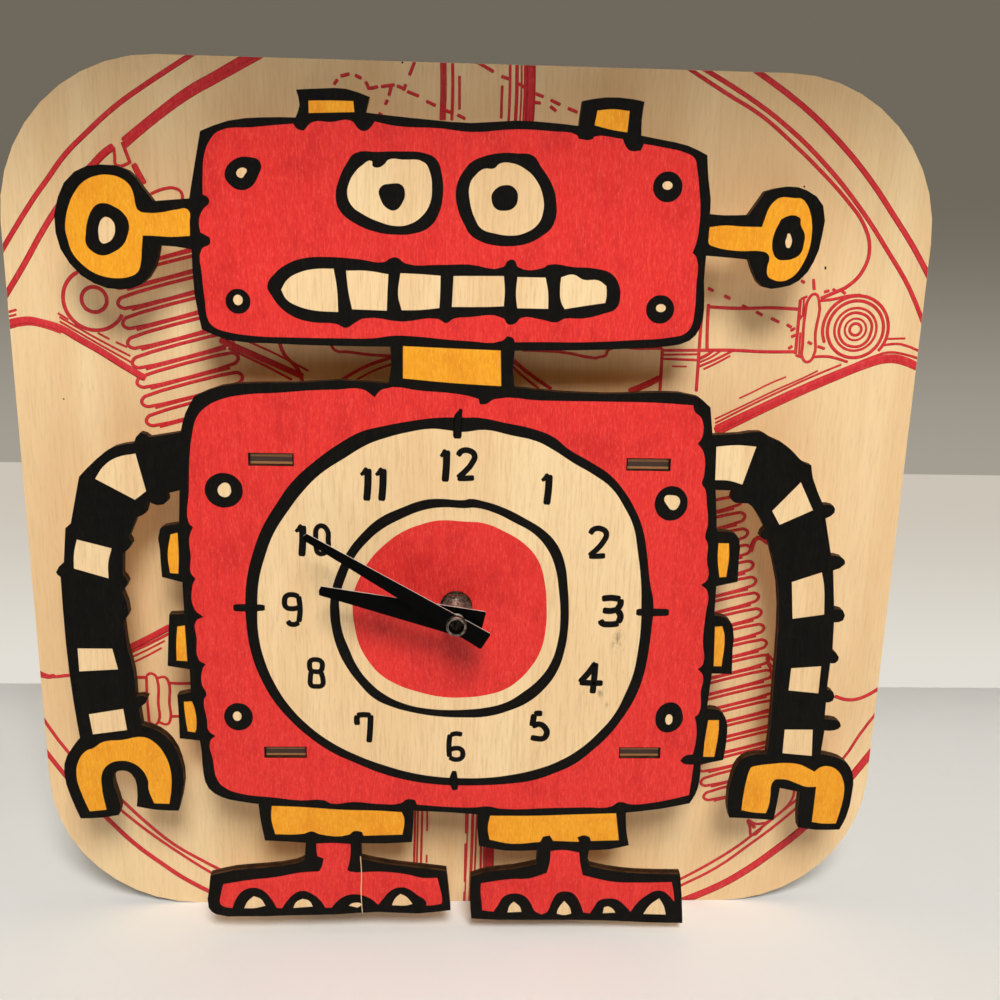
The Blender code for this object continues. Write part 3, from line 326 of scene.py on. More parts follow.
def hand_finish(name):
    """Black stoved paint, and on the stamped rim a near-white colour: partly the bare metal, partly a
    painted highlight for the glints along the edges.
    """
    finish = Finish(name, Specular_IOR_Level=0.04)
    specks = finish.noise((2600,) * 3, detail=3, rough=0.6)
    rim = finish.ramp(finish.combine(finish.facing("Y"), 0, "ABSOLUTE"), 0.8, 0.3)
    # Painted highlight: the rim is painted near white, partly bare metal and partly standing in for edge
    # glints.
    finish.paint(finish.mix(finish.combine(rim, 0.9, "MULTIPLY"), colour(4, 4, 4), colour(236, 232, 226)))
    finish.drive("Metallic", finish.combine(rim, 0.3, "MULTIPLY"))
    finish.gloss(finish.ramp(specks, 0.3, 0.7, 0.42, 0.54))
    finish.relief(specks, 0.2, 0.00003)
    return finish.material


def battery_finish(name, left, right):
    """A printed foil jacket with steel ends."""
    finish = Finish(name, Roughness=0.3)
    length = right - left
    share = finish.combine(finish.combine(finish.along("X"), left, "SUBTRACT"), length, "DIVIDE")
    streak = finish.noise((30, 900, 900), detail=3)
    band = finish.ramp(share, 0.70, 0.705)
    jacket = finish.mix(band, colour(38, 52, 74), colour(196, 200, 204))
    ends = finish.combine(finish.ramp(share, 0.025, 0.02), finish.ramp(share, 0.955, 0.96), "MAXIMUM")
    foil = finish.mix(finish.ramp(streak, 0.4, 0.7, 0, 0.2), jacket, colour(90, 100, 118))
    finish.paint(finish.mix(ends, foil, colour(190, 186, 178)))
    finish.gloss(finish.ramp(streak, 0.3, 0.7, 0.26, 0.38))
    finish.drive("Metallic", finish.combine(ends, finish.combine(band, 0.6, "MULTIPLY"), "MAXIMUM"))
    finish.relief(streak, 0.1, 0.00003)
    return finish.material


def winding_finish(name):
    """Fine enamelled wire laid turn beside turn along the coil."""
    finish = Finish(name, Metallic=1.0, Coat_Weight=0.6, Coat_Roughness=0.12)
    turns = finish.node(
        "ShaderNodeTexWave",
        {"wave_type": "BANDS", "bands_direction": "X"},
        Vector=finish.placed((1, 1, 1)),
        Scale=2600,
        Distortion=1.2,
        Detail=1,
    )
    tint = finish.noise((300,) * 3)
    finish.paint(finish.mix(finish.ramp(tint, 0.35, 0.65), colour(196, 108, 58), colour(158, 74, 36)))
    finish.gloss(finish.ramp(turns.outputs["Fac"], 0, 1, 0.3, 0.45))
    finish.relief(turns.outputs["Fac"], 0.6, 0.00008)
    return finish.material


def dress(piece, material):
    """Gives a solid its finish in place of the plain one that it comes with."""
    if piece.data.materials:
        piece.data.materials[0] = material
    else:
        piece.data.materials.append(material)


# ---------------------------------------------------------------- printed shapes

def flat_shape(outlines, thickness):
    """Filled outlines as one thin closed mesh in the XY plane, in millimetres.

    A ring inside another is a hole, and a point with a third value is a sharp corner.
    """
    curve = bpy.data.curves.new("outline", "CURVE")
    curve.dimensions = "2D"
    curve.fill_mode = "BOTH"
    curve.extrude = thickness / 2
    curve.resolution_u = CURVE_DETAIL
    curve.render_resolution_u = CURVE_DETAIL
    for outline in outlines:
        spline = curve.splines.new("BEZIER")
        spline.use_cyclic_u = True
        spline.bezier_points.add(len(outline) - 1)
        for target, point in zip(spline.bezier_points, outline):
            target.co = (point[0], point[1], 0)
            kind = "VECTOR" if len(point) == 3 else "AUTO"
            target.handle_left_type = kind
            target.handle_right_type = kind
    return meshed(curve)


def squared(outline, turn=48):
    """The outline with a sharp corner wherever it turns by more than this many degrees."""
    made = []
    for i, point in enumerate(outline):
        here = Vector(point[:2])
        before = here - Vector(outline[i - 1][:2])
        after = Vector(outline[(i + 1) % len(outline)][:2]) - here
        sharp = len(point) == 3 or math.degrees(before.angle(after)) > turn
        made.append((*point[:2], 1) if sharp else point)
    return made


def meshed(curve):
    """The curve's mesh. The curve itself is thrown away."""
    holder = bpy.data.objects.new("outline", curve)
    bpy.context.scene.collection.objects.link(holder)
    bpy.context.view_layer.update()
    data = bpy.data.meshes.new_from_object(holder.evaluated_get(bpy.context.evaluated_depsgraph_get()))
    bpy.data.objects.remove(holder)
    bpy.data.curves.remove(curve)
    return data


def upright(depth):
    """From a drawing in millimetres to its place on the clock, its front face towards the viewer."""
    place = Matrix.Translation((0, depth * MM, -HOOK_HEIGHT * MM))
    return place @ Matrix.Rotation(math.pi / 2, 4, "X") @ Matrix.Scale(MM, 4)


def piece_from(name, shapes, material, body="clock"):
    """One piece out of (mesh, placing matrix) pairs, welded and facing outwards."""
    work = bmesh.new()
    for data, placing in shapes:
        data.transform(placing)
        work.from_mesh(data)
        bpy.data.meshes.remove(data)
    bmesh.ops.remove_doubles(work, verts=work.verts, dist=1e-7)
    bmesh.ops.dissolve_degenerate(work, edges=work.edges, dist=1e-8)
    bmesh.ops.recalc_face_normals(work, faces=work.faces)
    return finished(name, work, material, body)


def as_object(name, work, material):
    """The bmesh as an object in the scene, its place in its mesh."""
    data = bpy.data.meshes.new(name)
    work.to_mesh(data)
    work.free()
    data.materials.append(material)
    made = bpy.data.objects.new(name, data)
    bpy.context.scene.collection.objects.link(made)
    return made


def finished(name, work, material, body="clock"):
    """The bmesh as a piece of the clock, riding on a body."""
    piece = as_object(name, work, material)
    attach(piece, body)
    return piece


def print_on(name, regions, material):
    """Ink areas on the figure's face. Each region is a list of outlines: its rim, then its holes."""
    place = upright(FACE - INK_PROUD + INK_THICKNESS / 2)
    piece_from(name, [(flat_shape(region, INK_THICKNESS), place) for region in regions], material)


def brushed(strokes, thickness):
    """Pen strokes as one mesh in the XY plane, in millimetres.

    Each is (points, width). A third value of a point is the pen's pressure there, and a stroke
    whose last point is its first is closed.
    """
    curve = bpy.data.curves.new("strokes", "CURVE")
    curve.dimensions = "3D"
    curve.fill_mode = "FULL"
    curve.bevel_depth = 0.5
    curve.bevel_resolution = 1
    curve.use_fill_caps = True
    curve.resolution_u = CURVE_DETAIL
    curve.render_resolution_u = CURVE_DETAIL
    for points, width in strokes:
        closed = points[0][:2] == points[-1][:2]
        line = [(Vector(p[:2]), p[2] if len(p) > 2 else 1.0) for p in (points[:-1] if closed else points)]
        if not closed:
            for end, inner in ((0, 1), (-1, -2)):
                spot, weight = line[end]
                step = line[inner][0] - spot
                step = step.normalized() * min(width * 0.3, step.length * 0.4)
                extra = (spot + step, weight)
                line[end] = (spot, weight * 0.72)
                line.insert(1 if end == 0 else len(line) - 1, extra)
        spline = curve.splines.new("BEZIER")
        spline.use_cyclic_u = closed
        spline.bezier_points.add(len(line) - 1)
        for target, (spot, weight) in zip(spline.bezier_points, line):
            target.co = (*spot, 0)
            target.radius = width * weight
            target.handle_left_type = target.handle_right_type = "AUTO"
    data = meshed(curve)
    data.transform(Matrix.Diagonal((1, 1, thickness, 1)))
    return data


def arc(cx, cy, radius, start, end, count=12, squeeze=1.0):
    """Points on part of a circle or of an upright ellipse.

    Angles are in degrees, anticlockwise from the right.
    """
    points = []
    for i in range(count + 1):
        angle = math.radians(start + (end - start) * i / count)
        points.append((cx + radius * math.cos(angle), cy + radius * squeeze * math.sin(angle)))
    return points


def ring_outline(cx, cy, radius, count=12, squeeze=1.0):
    """A whole circle or upright ellipse, open where its ends would meet."""
    return arc(cx, cy, radius, 0, 360, count, squeeze)[:-1]


# ---------------------------------------------------------------- the drawing on the front
# In millimetres: x to the right and y up from the panel's middle.

HEAD_RED = [
    (-74.9, 122.6), (-65, 124), (-53.3, 125.3), (-52.4, 124), (-50.3, 123.4), (-47.9, 125.8),
    (-42.5, 126), (-36.6, 126.5), (-34.4, 124.2), (-32.6, 123.8), (-30.8, 125.1), (-29.9, 126.5),
    (-23.6, 125.4), (-11, 125.1), (-2, 124.3), (11.5, 125.4), (21.4, 125.1), (29, 124.2), (29.5, 123.2),
    (33.5, 123.2), (34.2, 124), (42.5, 123.5), (43.9, 120.9), (45.2, 120.2), (48, 120.4), (48.8, 122.3),
    (55.6, 121.3), (61, 120.2), (64.1, 118.6), (65, 115.7), (66, 110.3), (66.8, 104), (66.8, 99.5),
    (66.4, 95), (65.3, 91.4), (66.6, 90), (67.1, 81.5), (67.1, 73.4), (66.4, 69.3), (64.6, 67.1),
    (61, 66), (48.4, 64.8), (34, 63.9), (20.5, 63.7), (12.4, 63.5), (11.9, 64.7), (10.1, 65.3),
    (8.6, 63.9), (-2, 63.6), (-20, 64.8), (-24.5, 64.8), (-30.8, 63.9), (-41.6, 63.7), (-56, 63.7),
    (-65.9, 63.9), (-74.9, 65.1), (-78, 66.2), (-79.8, 68), (-80.7, 74.3), (-81.2, 81.5), (-81, 89.3),
    (-78.5, 90.9), (-78.5, 92.7), (-81.2, 94.1), (-81.4, 97.7), (-80, 100.8), (-78.3, 102.6),
    (-78.5, 104), (-80, 104.9), (-79.8, 110.3), (-79.2, 115.7), (-77.6, 119.7),
]
LEFT_EYE_RIM = [
    (-35.8, 117.5), (-29, 118.1), (-21.8, 118.4), (-15.5, 118.1), (-11.9, 116.4), (-10.3, 112.1),
    (-9.9, 106.7), (-11, 101.3), (-13.7, 97.2), (-18.2, 95.2), (-23.6, 94.7), (-29.9, 95.4),
    (-35.8, 97.7), (-40.3, 101.3), (-41.4, 105.3), (-40.3, 110.3), (-38, 114.8),
]
LEFT_EYE = [
    (-30.8, 115.5), (-30.5, 114.1), (-29, 113.7), (-27.2, 114.6), (-25.9, 116), (-21.8, 116.1),
    (-15.5, 115.5), (-13.9, 113), (-13.2, 108.5), (-13.7, 104), (-15.9, 100.4), (-19.5, 97.9),
    (-23.6, 97.2), (-29, 98.4), (-33.5, 100.4), (-36.6, 102.6), (-38, 105.8), (-37.5, 109),
    (-35.8, 112.1), (-33.5, 114.3),
]
LEFT_PUPIL = [
    (-28.5, 107.9), (-24.9, 109.3), (-22, 108.9), (-21.1, 106.7), (-21.8, 104), (-24, 101.7),
    (-26.3, 102.2), (-28.1, 104.4),
]
RIGHT_EYE_RIM = [
    (-5.6, 110.3), (-6.2, 106.7), (-5.1, 101.3), (-3.3, 97.7), (-2, 95.5), (1.2, 93.4), (5.2, 92.3),
    (10.2, 92.1), (15.1, 92.9), (19.6, 95.2), (23, 98.6), (23.5, 106.2), (21.9, 110.7), (18.7, 115.2),
    (16.5, 118.1), (11.5, 118.7), (7, 118.7), (1.6, 117.5), (-2, 115.7), (-3.5, 114),
]
RIGHT_EYE = [
    (-2, 109.8), (-0.2, 112.5), (2, 114.1), (5, 114.3), (6.6, 115.7), (10.2, 115.9), (14.2, 114.3),
    (17.4, 111.4), (19.6, 106.7), (19.8, 102.2), (18.3, 98.6), (14.2, 95.9), (10.6, 95.2), (5.7, 95.7),
    (1.6, 97), (-0.2, 99.5), (-2, 104.9),
]
RIGHT_PUPIL = [
    (4.8, 107.6), (8.8, 109.7), (11.5, 108.5), (12.2, 105.8), (11.1, 103.3), (7.9, 102.3), (5.7, 102.9),
    (4.5, 104.9),
]
HEAD_RIVETS = [
    [
        (-73.5, 110.7), (-70.8, 114.8), (-65.9, 115.7), (-63, 114.3), (-63.9, 110.3), (-65.9, 107.4),
        (-69, 106.4), (-72, 107.8),
    ],
    ring_outline(-70.9, 74.2, 3.7, 8), ring_outline(56.6, 110.3, 4.4, 8),
    ring_outline(56.5, 74.3, 4.3, 8),
]
HEAD_RIVET_DOTS = [
    [(-70.1, 111.4), (-67.2, 112.4), (-67.7, 110.7), (-68.8, 109.8)],
    ring_outline(-70.9, 74.6, 1.4, 7, 1.1),
    ring_outline(56.5, 110.7, 1.5, 7, 0.8),
    ring_outline(56.7, 74.7, 1.5, 7, 0.8),
]
MOUTH = [
    (-62.1, 78.8), (-59.6, 82.8), (-56, 85.5), (-51.5, 87.2), (-44.3, 87.8), (-34.4, 87.3), (-27.2, 86.7),
    (-25.4, 87.8), (-23.6, 88.1), (-20.9, 86.4), (-11, 86.2), (-2, 86.5), (8.4, 86), (9.7, 87.8),
    (11.5, 88.1), (12.9, 86), (20.5, 86), (21.9, 86.9), (29.5, 86.4), (36.7, 86), (41.2, 84.6),
    (43.5, 81.5), (44.1, 77.9), (43, 74.3), (39.4, 72.7), (33.1, 71.1), (27.3, 70.9), (25, 69.8),
    (20.5, 70.5), (14.2, 70.9), (12.4, 69.2), (10.2, 68.9), (8.8, 70.7), (-2, 70.8), (-6.5, 70.2),
    (-8.5, 68.9), (-11, 70.1), (-21.8, 69.1), (-33.5, 69.8), (-36.2, 68.4), (-38.9, 66.9), (-41.6, 68),
    (-48.8, 68.4), (-54.2, 69.8), (-58.2, 72.5), (-60.9, 76.1),
]
TEETH = [
    [
        (-58, 77.9), (-56, 81), (-52.4, 83.1), (-47.9, 84.2), (-42.3, 84.4, 1), (-41.4, 78.8),
        (-41.1, 71.6, 1), (-48.8, 72), (-53.3, 73.2), (-56.4, 75),
    ],
    [(-38.6, 83.9), (-32.6, 84), (-26, 83.1), (-26.3, 77.9), (-26.5, 72.3), (-36.9, 72.5), (-38, 77.9)],
    [
        (-22.4, 83.5), (-15.5, 83.3), (-10.4, 83), (-10.5, 77), (-10.7, 73.4), (-16.4, 72.7), (-22, 72.5),
        (-23.1, 77),
    ],
    [(-6.5, 83), (-2, 83.1), (8.6, 83.3), (9, 78.8), (8.8, 74.3), (3.4, 74), (-6.9, 73.8)],
    [(12.7, 83.1), (21.2, 83.1), (22.1, 78.8), (22.3, 73.8), (12.9, 73.8), (12.4, 77.9)],
    [
        (25.9, 83.3), (29.5, 84.2), (32.7, 82.7), (37.2, 82.6), (39.7, 81), (39.9, 77.9), (39.6, 75.9),
        (34, 75), (27.3, 73.8), (26.1, 76.1), (25.7, 79.7),
    ],
]
BODY_RED = [
    (-33.9, 48.2), (-30.3, 45.8), (-27.9, 48.3), (-15.5, 48), (-2, 46.8), (1.7, 45.8), (2.1, 44.2),
    (3.9, 44.2), (6.6, 45.8), (21, 45.6), (39, 45.6), (57, 45.5), (68.7, 44.9), (69.2, 43.1),
    (71.6, 40.8), (72.3, 35), (71, 32.7), (73, 30), (73.7, 22.4), (73.2, 19.7), (74.4, 17.9),
    (75.2, 13.4), (76.1, 6.2), (75.5, 1.9), (76.5, -0.1), (76.6, -5.5), (77.3, -12.3), (75.3, -14.3),
    (77.5, -16.3), (77.5, -25), (77.3, -34), (77.9, -42.1), (76.4, -43.9), (78.2, -46.2), (77.9, -52),
    (77.7, -60.1), (76.5, -61.2), (77.3, -64.6), (77.5, -70), (76.8, -75.1), (74.1, -75.7), (72.6, -77.5),
    (74.1, -78.7), (77.3, -79), (77, -84.4), (76.5, -90.5), (70.5, -92.1), (64.2, -93.4), (57, -94.1),
    (52.5, -93.2), (49.8, -94.9), (40.8, -95.2), (30, -95.4), (12, -95.7), (7.5, -94.8), (3, -95.2),
    (-6, -95), (-16.6, -94.1), (-17.3, -92.3), (-20, -92.1), (-22.2, -93.6), (-29, -93.9), (-38, -93.1),
    (-45.6, -93.7), (-47.9, -92.5), (-56, -92.5), (-65, -91.4), (-75.8, -90), (-80.7, -88),
    (-83.2, -85.3), (-84.6, -77.2), (-85.2, -70.5), (-83.4, -68.7), (-85.5, -66.9), (-85.9, -62.8),
    (-86.6, -55.6), (-85.7, -53.8), (-87, -50.2), (-86.6, -44.8), (-85.5, -43), (-87.5, -41.7),
    (-88, -34), (-88, -28.2), (-85.5, -26.6), (-88.2, -24.1), (-88.6, -16.3), (-87.5, -13.6),
    (-88.8, -11.8), (-88.6, -6.4), (-88.8, -0.1), (-87.5, 3.5), (-88.7, 4.8), (-88.2, 15.2), (-87.5, 26),
    (-86.4, 33.2), (-84.8, 38.6), (-82.1, 41.7), (-77.1, 44.4), (-69.5, 46), (-59.6, 46.7), (-50.1, 47.6),
    (-41.6, 48),
]
DIAL_RIM = [
    (-2, 39.9), (-11, 39.7), (-20, 38.4), (-29, 36.5), (-34.4, 35), (-41.6, 30.9), (-48.8, 25.5),
    (-56, 18.8), (-61.4, 11.1), (-65.9, 3.5), (-69, -4.6), (-71.1, -12.7), (-72, -21.3), (-71.7, -32.2),
    (-70.4, -40.3), (-67.7, -48.4), (-64.1, -55.6), (-58.7, -62.8), (-52.4, -69.1), (-45.2, -74.5),
    (-37.1, -78.6), (-29, -82.2), (-20, -84.9), (-11, -86.4), (-5.6, -86.8), (5.7, -86.8), (14.7, -86.2),
    (22.8, -84.9), (30, -82.2), (36.3, -79), (42.6, -73.6), (48, -67.8), (52.5, -61), (56.1, -53.8),
    (58.4, -45.7), (59.5, -37.6), (60, -29.5), (60.2, -21.4), (58.4, -12.7), (57, -3.7), (55.2, 4.4),
    (52.5, 10.7), (48.5, 17), (43.5, 22.4), (37.2, 26.4), (30, 30.5), (25.5, 34.1), (18.3, 36.8),
    (10.2, 38.4), (2.1, 39.9),
]
DIAL = [
    (-8.3, 35.9), (-12.8, 36.2), (-20, 35), (-27.2, 33), (-32.6, 30.9), (-39.8, 26.4), (-47, 21.5),
    (-52.4, 16.1), (-57.8, 8.9), (-62.3, 1.7), (-65.4, -6.4), (-67.5, -14.5), (-68.2, -23),
    (-68.1, -33.1), (-66.3, -42.1), (-63.2, -50.2), (-58.7, -57.9), (-52.4, -65.1), (-45.2, -70.9),
    (-36.2, -75.9), (-27.2, -79.5), (-18.2, -82.2), (-9.2, -83.7), (-2.4, -84.1), (6.6, -84),
    (15.6, -82.8), (23.7, -80.8), (30.9, -77.9), (38.1, -73.2), (44.4, -66.9), (49.4, -60.1),
    (52.5, -52.9), (54.8, -45.7), (55.9, -37.6), (56.4, -29.5), (56.1, -20.6), (55.5, -12.7),
    (53.9, -2.8), (52.1, 5.3), (48.9, 11.6), (44.4, 17.9), (39, 21.9), (31.8, 26), (25.5, 30),
    (20.1, 32.7), (12, 34.5), (3.9, 36.1), (-3.3, 35.3),
]
INNER_RING_RIM = [
    (-2, 13.4), (-11, 13.7), (-15.5, 13.1), (-21.8, 10.7), (-29, 7.1), (-34.4, 2.1), (-38.9, -3.7),
    (-42, -10), (-44.3, -17.2), (-45, -24), (-44.3, -31.3), (-42.7, -37.6), (-39.8, -43.9),
    (-35.7, -49.8), (-31.1, -54.8), (-24.9, -58.0), (-17.4, -60.1), (-10.1, -61.3), (-2, -61.7),
    (6.6, -61.3), (13.8, -59.2), (20.1, -56.1), (25.5, -51.1), (29.5, -44.8), (31.6, -37.6),
    (32.5, -29.5), (32.4, -22), (31.8, -15.4), (30.5, -7.3), (27.8, -1), (23.7, 3.5), (17.4, 7.5),
    (10.2, 11.1), (3.9, 13.1), (-0.6, 13.8),
]
INNER_RING = [
    (-2, 10.7), (-9.2, 10.9), (-15.5, 9.8), (-21.8, 7.1), (-28.1, 3.5), (-33.5, -1.5), (-37.1, -6.4),
    (-39.8, -12.7), (-41.9, -20), (-41.9, -24.1), (-41.1, -31.3), (-38.9, -37.6), (-36.5, -43.3),
    (-32.4, -49.1), (-27, -53.8), (-20.3, -57), (-12.8, -58.6), (-5.6, -59), (-1.5, -58.9), (6.6, -58),
    (12.9, -56.1), (18.3, -52.5), (23.7, -47.5), (27.3, -41.7), (29.3, -34), (29.8, -26.8), (28.9, -16.3),
    (27.3, -8.2), (24.6, -2.4), (20.1, 2.6), (13.8, 6.2), (7.5, 9.3), (1.2, 10.9),
]
RED_CENTRE = [
    (-2, 6.3), (-10.1, 6.6), (-15.5, 5.3), (-21.8, 2.6), (-27.2, -1.5), (-32.1, -6.9), (-35.3, -12.7),
    (-37.3, -18.1), (-37.7, -24.1), (-37.1, -29.5), (-35.7, -35.8), (-33, -41.2), (-29, -46.2),
    (-23.6, -49.8), (-16.4, -52.5), (-8.3, -54.3), (-0.6, -54.4), (5.7, -53.6), (12, -51.6),
    (16.5, -48.4), (21, -43), (23.7, -37.6), (25.1, -30.4), (25.2, -23), (24.2, -13.6), (21.9, -6.4),
    (17.4, -1), (11.1, 3), (3.9, 5.9),
]
BODY_RIVETS = [
    ring_outline(-77.4, 15.6, 5.9, 9, 0.95), ring_outline(63.8, 13.1, 5.3, 9, 1.08),
    ring_outline(-75.6, -61.7, 4.7, 9, 1.05),
    [
        (70, -66.2), (72.2, -63.5), (72.3, -60), (70, -56.4), (66.5, -56.2), (64, -58.4), (63.2, -61.5),
        (64, -65), (66.5, -66.9),
    ],
]
BODY_RIVET_DOTS = [
    [(-79.3, 15.2), (-78.4, 17.4), (-76.4, 18), (-75.2, 16.2), (-75.6, 14.2), (-77.4, 13.4)],
    [(61.6, 15.2), (64, 15.8), (66.2, 14.9), (66.3, 12.4), (64.6, 10.9), (62.6, 12.4)],
    ring_outline(-76, -61.5, 1.4, 7, 1.2), ring_outline(67.8, -62.2, 1.2, 7, 1.6),
]
HIP_LEFT = [
    (-65.6, -94.6), (-56, -95), (-41.6, -96.1), (-30.8, -96.4), (-21.8, -97), (-20.9, -99.5),
    (-21.5, -105.6), (-34.8, -106), (-35.3, -104.5), (-38, -104.2), (-39.8, -105.6), (-49.7, -105.4),
    (-52.4, -104.3), (-55.1, -105.2), (-64.7, -105.4), (-65.9, -99.5),
]
HIP_RIGHT = [
    (8.4, -98.4), (25, -98.4), (38.5, -97.9), (51.7, -97.5), (52.5, -103.1), (53.2, -107.9),
    (43.5, -108.2), (43, -106.7), (41.2, -106), (38.7, -106.7), (39.4, -108.5), (30.4, -108.1),
    (29.1, -106), (26.8, -106.5), (25.9, -108.5), (16, -109.2), (8.4, -107.6), (7.7, -103.1),
]
KNOBS_AND_NECK = [
    [(-48.8, 131.7), (-42.5, 131.9), (-36, 131.9), (-35.7, 128.9), (-42.5, 128.6), (-48.8, 128.3)],
    [(34.7, 131.2), (39.4, 131.7), (44.1, 131.3), (43.7, 125.4), (39, 126), (34, 127.1)],
    [(-21.6, 61.7, 1), (-8, 61.3), (8.2, 60.9, 1), (8.6, 49.9, 1), (-6, 50.6), (-21.6, 51.8, 1)],
]
EAR_LEFT = [
    (-84.5, 100.5), (-88, 100.4), (-92, 99.6), (-96, 99.3), (-98.8, 99.9), (-99.6, 101.5), (-99.9, 104),
    (-101, 107), (-103.5, 109), (-107, 109.8), (-110.5, 109.4), (-114, 107.8), (-117, 104.5),
    (-119, 100.5), (-120, 97), (-120.3, 94), (-119.8, 91), (-118.8, 87.5), (-116, 84), (-113, 81.8),
    (-109.5, 80.6), (-105.5, 80.3), (-102, 81), (-100, 82.3), (-99, 85), (-98.5, 89), (-98, 92.8, 1),
    (-95, 92.8), (-90, 92.6), (-84.3, 93, 1), (-84.2, 96.5),
]
EAR_LEFT_HOLE = [
    (-108.8, 101.8), (-106, 101), (-103, 98.8), (-101.8, 96), (-102.3, 93), (-104, 89.8), (-106.5, 88),
    (-110, 86.8), (-112.8, 87.8), (-114.6, 90), (-114.5, 93), (-113.8, 96.5), (-112.5, 99.5),
    (-110.8, 101.3),
]
EAR_RIGHT = [
    (70, 99, 1), (74.5, 99.6), (80, 99.4), (85.8, 99.4, 1), (86.5, 102), (87.5, 105), (89, 107),
    (90.5, 108), (95, 108), (97, 107.9), (98.8, 106.3), (100, 104), (100.9, 100.5), (101.1, 97.5),
    (100.8, 93.5), (99.5, 89.5), (97.5, 86), (95.5, 84.3), (93, 83.5), (90.3, 84), (88.8, 85),
    (88.4, 87.5), (88.8, 90.5), (88, 91.7), (86, 92.3), (80, 92.2), (75, 92.6), (71.5, 93.4), (70.2, 94),
    (69.9, 96.5),
]
EAR_RIGHT_HOLE = [
    (91, 100.8), (91.5, 101.8), (97, 102.4), (97.5, 100.3), (99, 97.5), (99, 95), (98.3, 92),
    (96.5, 90.5), (93.5, 89.8), (91.3, 90.1), (89.8, 92), (89.3, 95), (89.8, 98),
]
EAR_EYES = [
    [
        (-108.3, 97.9), (-106.5, 96.8), (-105.9, 94.8), (-106.8, 91.8), (-108.5, 90.5), (-110, 90.4),
        (-110.8, 93), (-110.3, 96), (-109.3, 97.5),
    ],
    [(94, 97.7), (95, 96.5), (95.2, 94.8), (94.3, 93.4), (93.3, 95), (93.6, 96.5)],
]
SIDE_BUMPS = [
    [(-94.6, 1), (-92.4, 1.6), (-92.4, -6.4), (-92.8, -12), (-95.4, -11.8), (-95.8, -5.6)],
    [(-94, -30), (-91.6, -29.6), (-91.4, -42), (-94.8, -41.8), (-94.6, -35.6)],
    [
        (-93.2, -56.4), (-90.6, -56.2), (-89.8, -58.8), (-89.6, -66), (-90, -67.4), (-92.4, -67),
        (-93, -61.2),
    ],
    [(80, 0), (83.4, 0), (83.8, -4.8), (83.4, -11.4), (81.2, -11.6), (80.2, -5.6)],
    [(81, -28.8), (83.4, -28.6), (84.4, -32), (84.2, -42.8), (81.6, -42.8)],
    [(81.2, -62.4), (84.8, -62.4), (85, -66.8), (84.2, -76), (80.4, -76), (80.6, -69.2)],
]
CLAWS = [
    [
        (-126, -74.2), (-123.6, -73.2), (-120.4, -71), (-114, -70.2), (-106.8, -69.2), (-103.2, -71.4),
        (-100.4, -75.6), (-98.8, -81.2), (-98.8, -87.6), (-99.8, -93.8, 1), (-104.8, -93.6, 1),
        (-106.4, -88.4), (-106.4, -85.2), (-108.4, -80.8), (-111.6, -78.4), (-114.8, -77.8),
        (-118.8, -79), (-121.2, -82), (-121.8, -86.8), (-120.8, -96, 1), (-126.4, -96.6, 1),
        (-128.8, -89.2), (-129.8, -83.6), (-128.8, -78),
    ],
    [
        (97.3, -80), (99.5, -79.3), (103, -78.8), (109.5, -78.3), (114, -78.9), (117, -80.3),
        (119.3, -81.6), (121.5, -79.8), (124.5, -79.6), (127.5, -81.3), (129.5, -84.5), (130.4, -88.5),
        (130, -95), (128.8, -101.5, 1), (124, -101.5), (120.3, -100.9, 1), (120.4, -95),
        (120.5, -87.3, 1), (117, -87.3), (113.5, -86), (109.5, -84.5), (106, -84.5), (105, -86),
        (104.8, -91), (104.5, -95), (103.8, -97.5, 1), (99.5, -97.2), (95.2, -96.3, 1), (95.4, -91),
        (96, -85), (96.8, -81),
    ],
]
ARM_BANDS = [
    [(-116.8, 18.8), (-114, 22.8), (-110, 25.6), (-104, 27, 1), (-101.4, 15, 1), (-105, 12.2, 1)],
    [
        (-123.8, -1, 1), (-113.2, -3.8, 1), (-114.6, -8.8), (-114.8, -13.8, 1), (-125.4, -10.6, 1),
        (-125, -5.6),
    ],
    [(-126.2, -37.8, 1), (-115.2, -37.8, 1), (-113.8, -45, 1), (-126.2, -45.8, 1)],
    [(-124.2, -61, 1), (-113, -59, 1), (-112.2, -66.6, 1), (-123.4, -68.2, 1)],
    [(77, 31.8, 1), (83.6, 32.4), (89.7, 32, 1), (86.2, 19.6, 1), (82, 20.8), (77.4, 21, 1)],
    [(105, 20.6, 1), (109.8, 11.4, 1), (99.4, 6.4, 1), (96.6, 11, 1)],
    [(114.8, -9.6, 1), (116, -14.4), (117, -24.2, 1), (106.6, -25.8, 1), (105.2, -13, 1)],
    [(107.8, -43.4, 1), (117.8, -42.6, 1), (117.8, -52.4, 1), (107.6, -51.4, 1)],
    [(107.6, -65.8, 1), (117.2, -65.8, 1), (117.8, -75.6, 1), (107.6, -74.6, 1)],
]
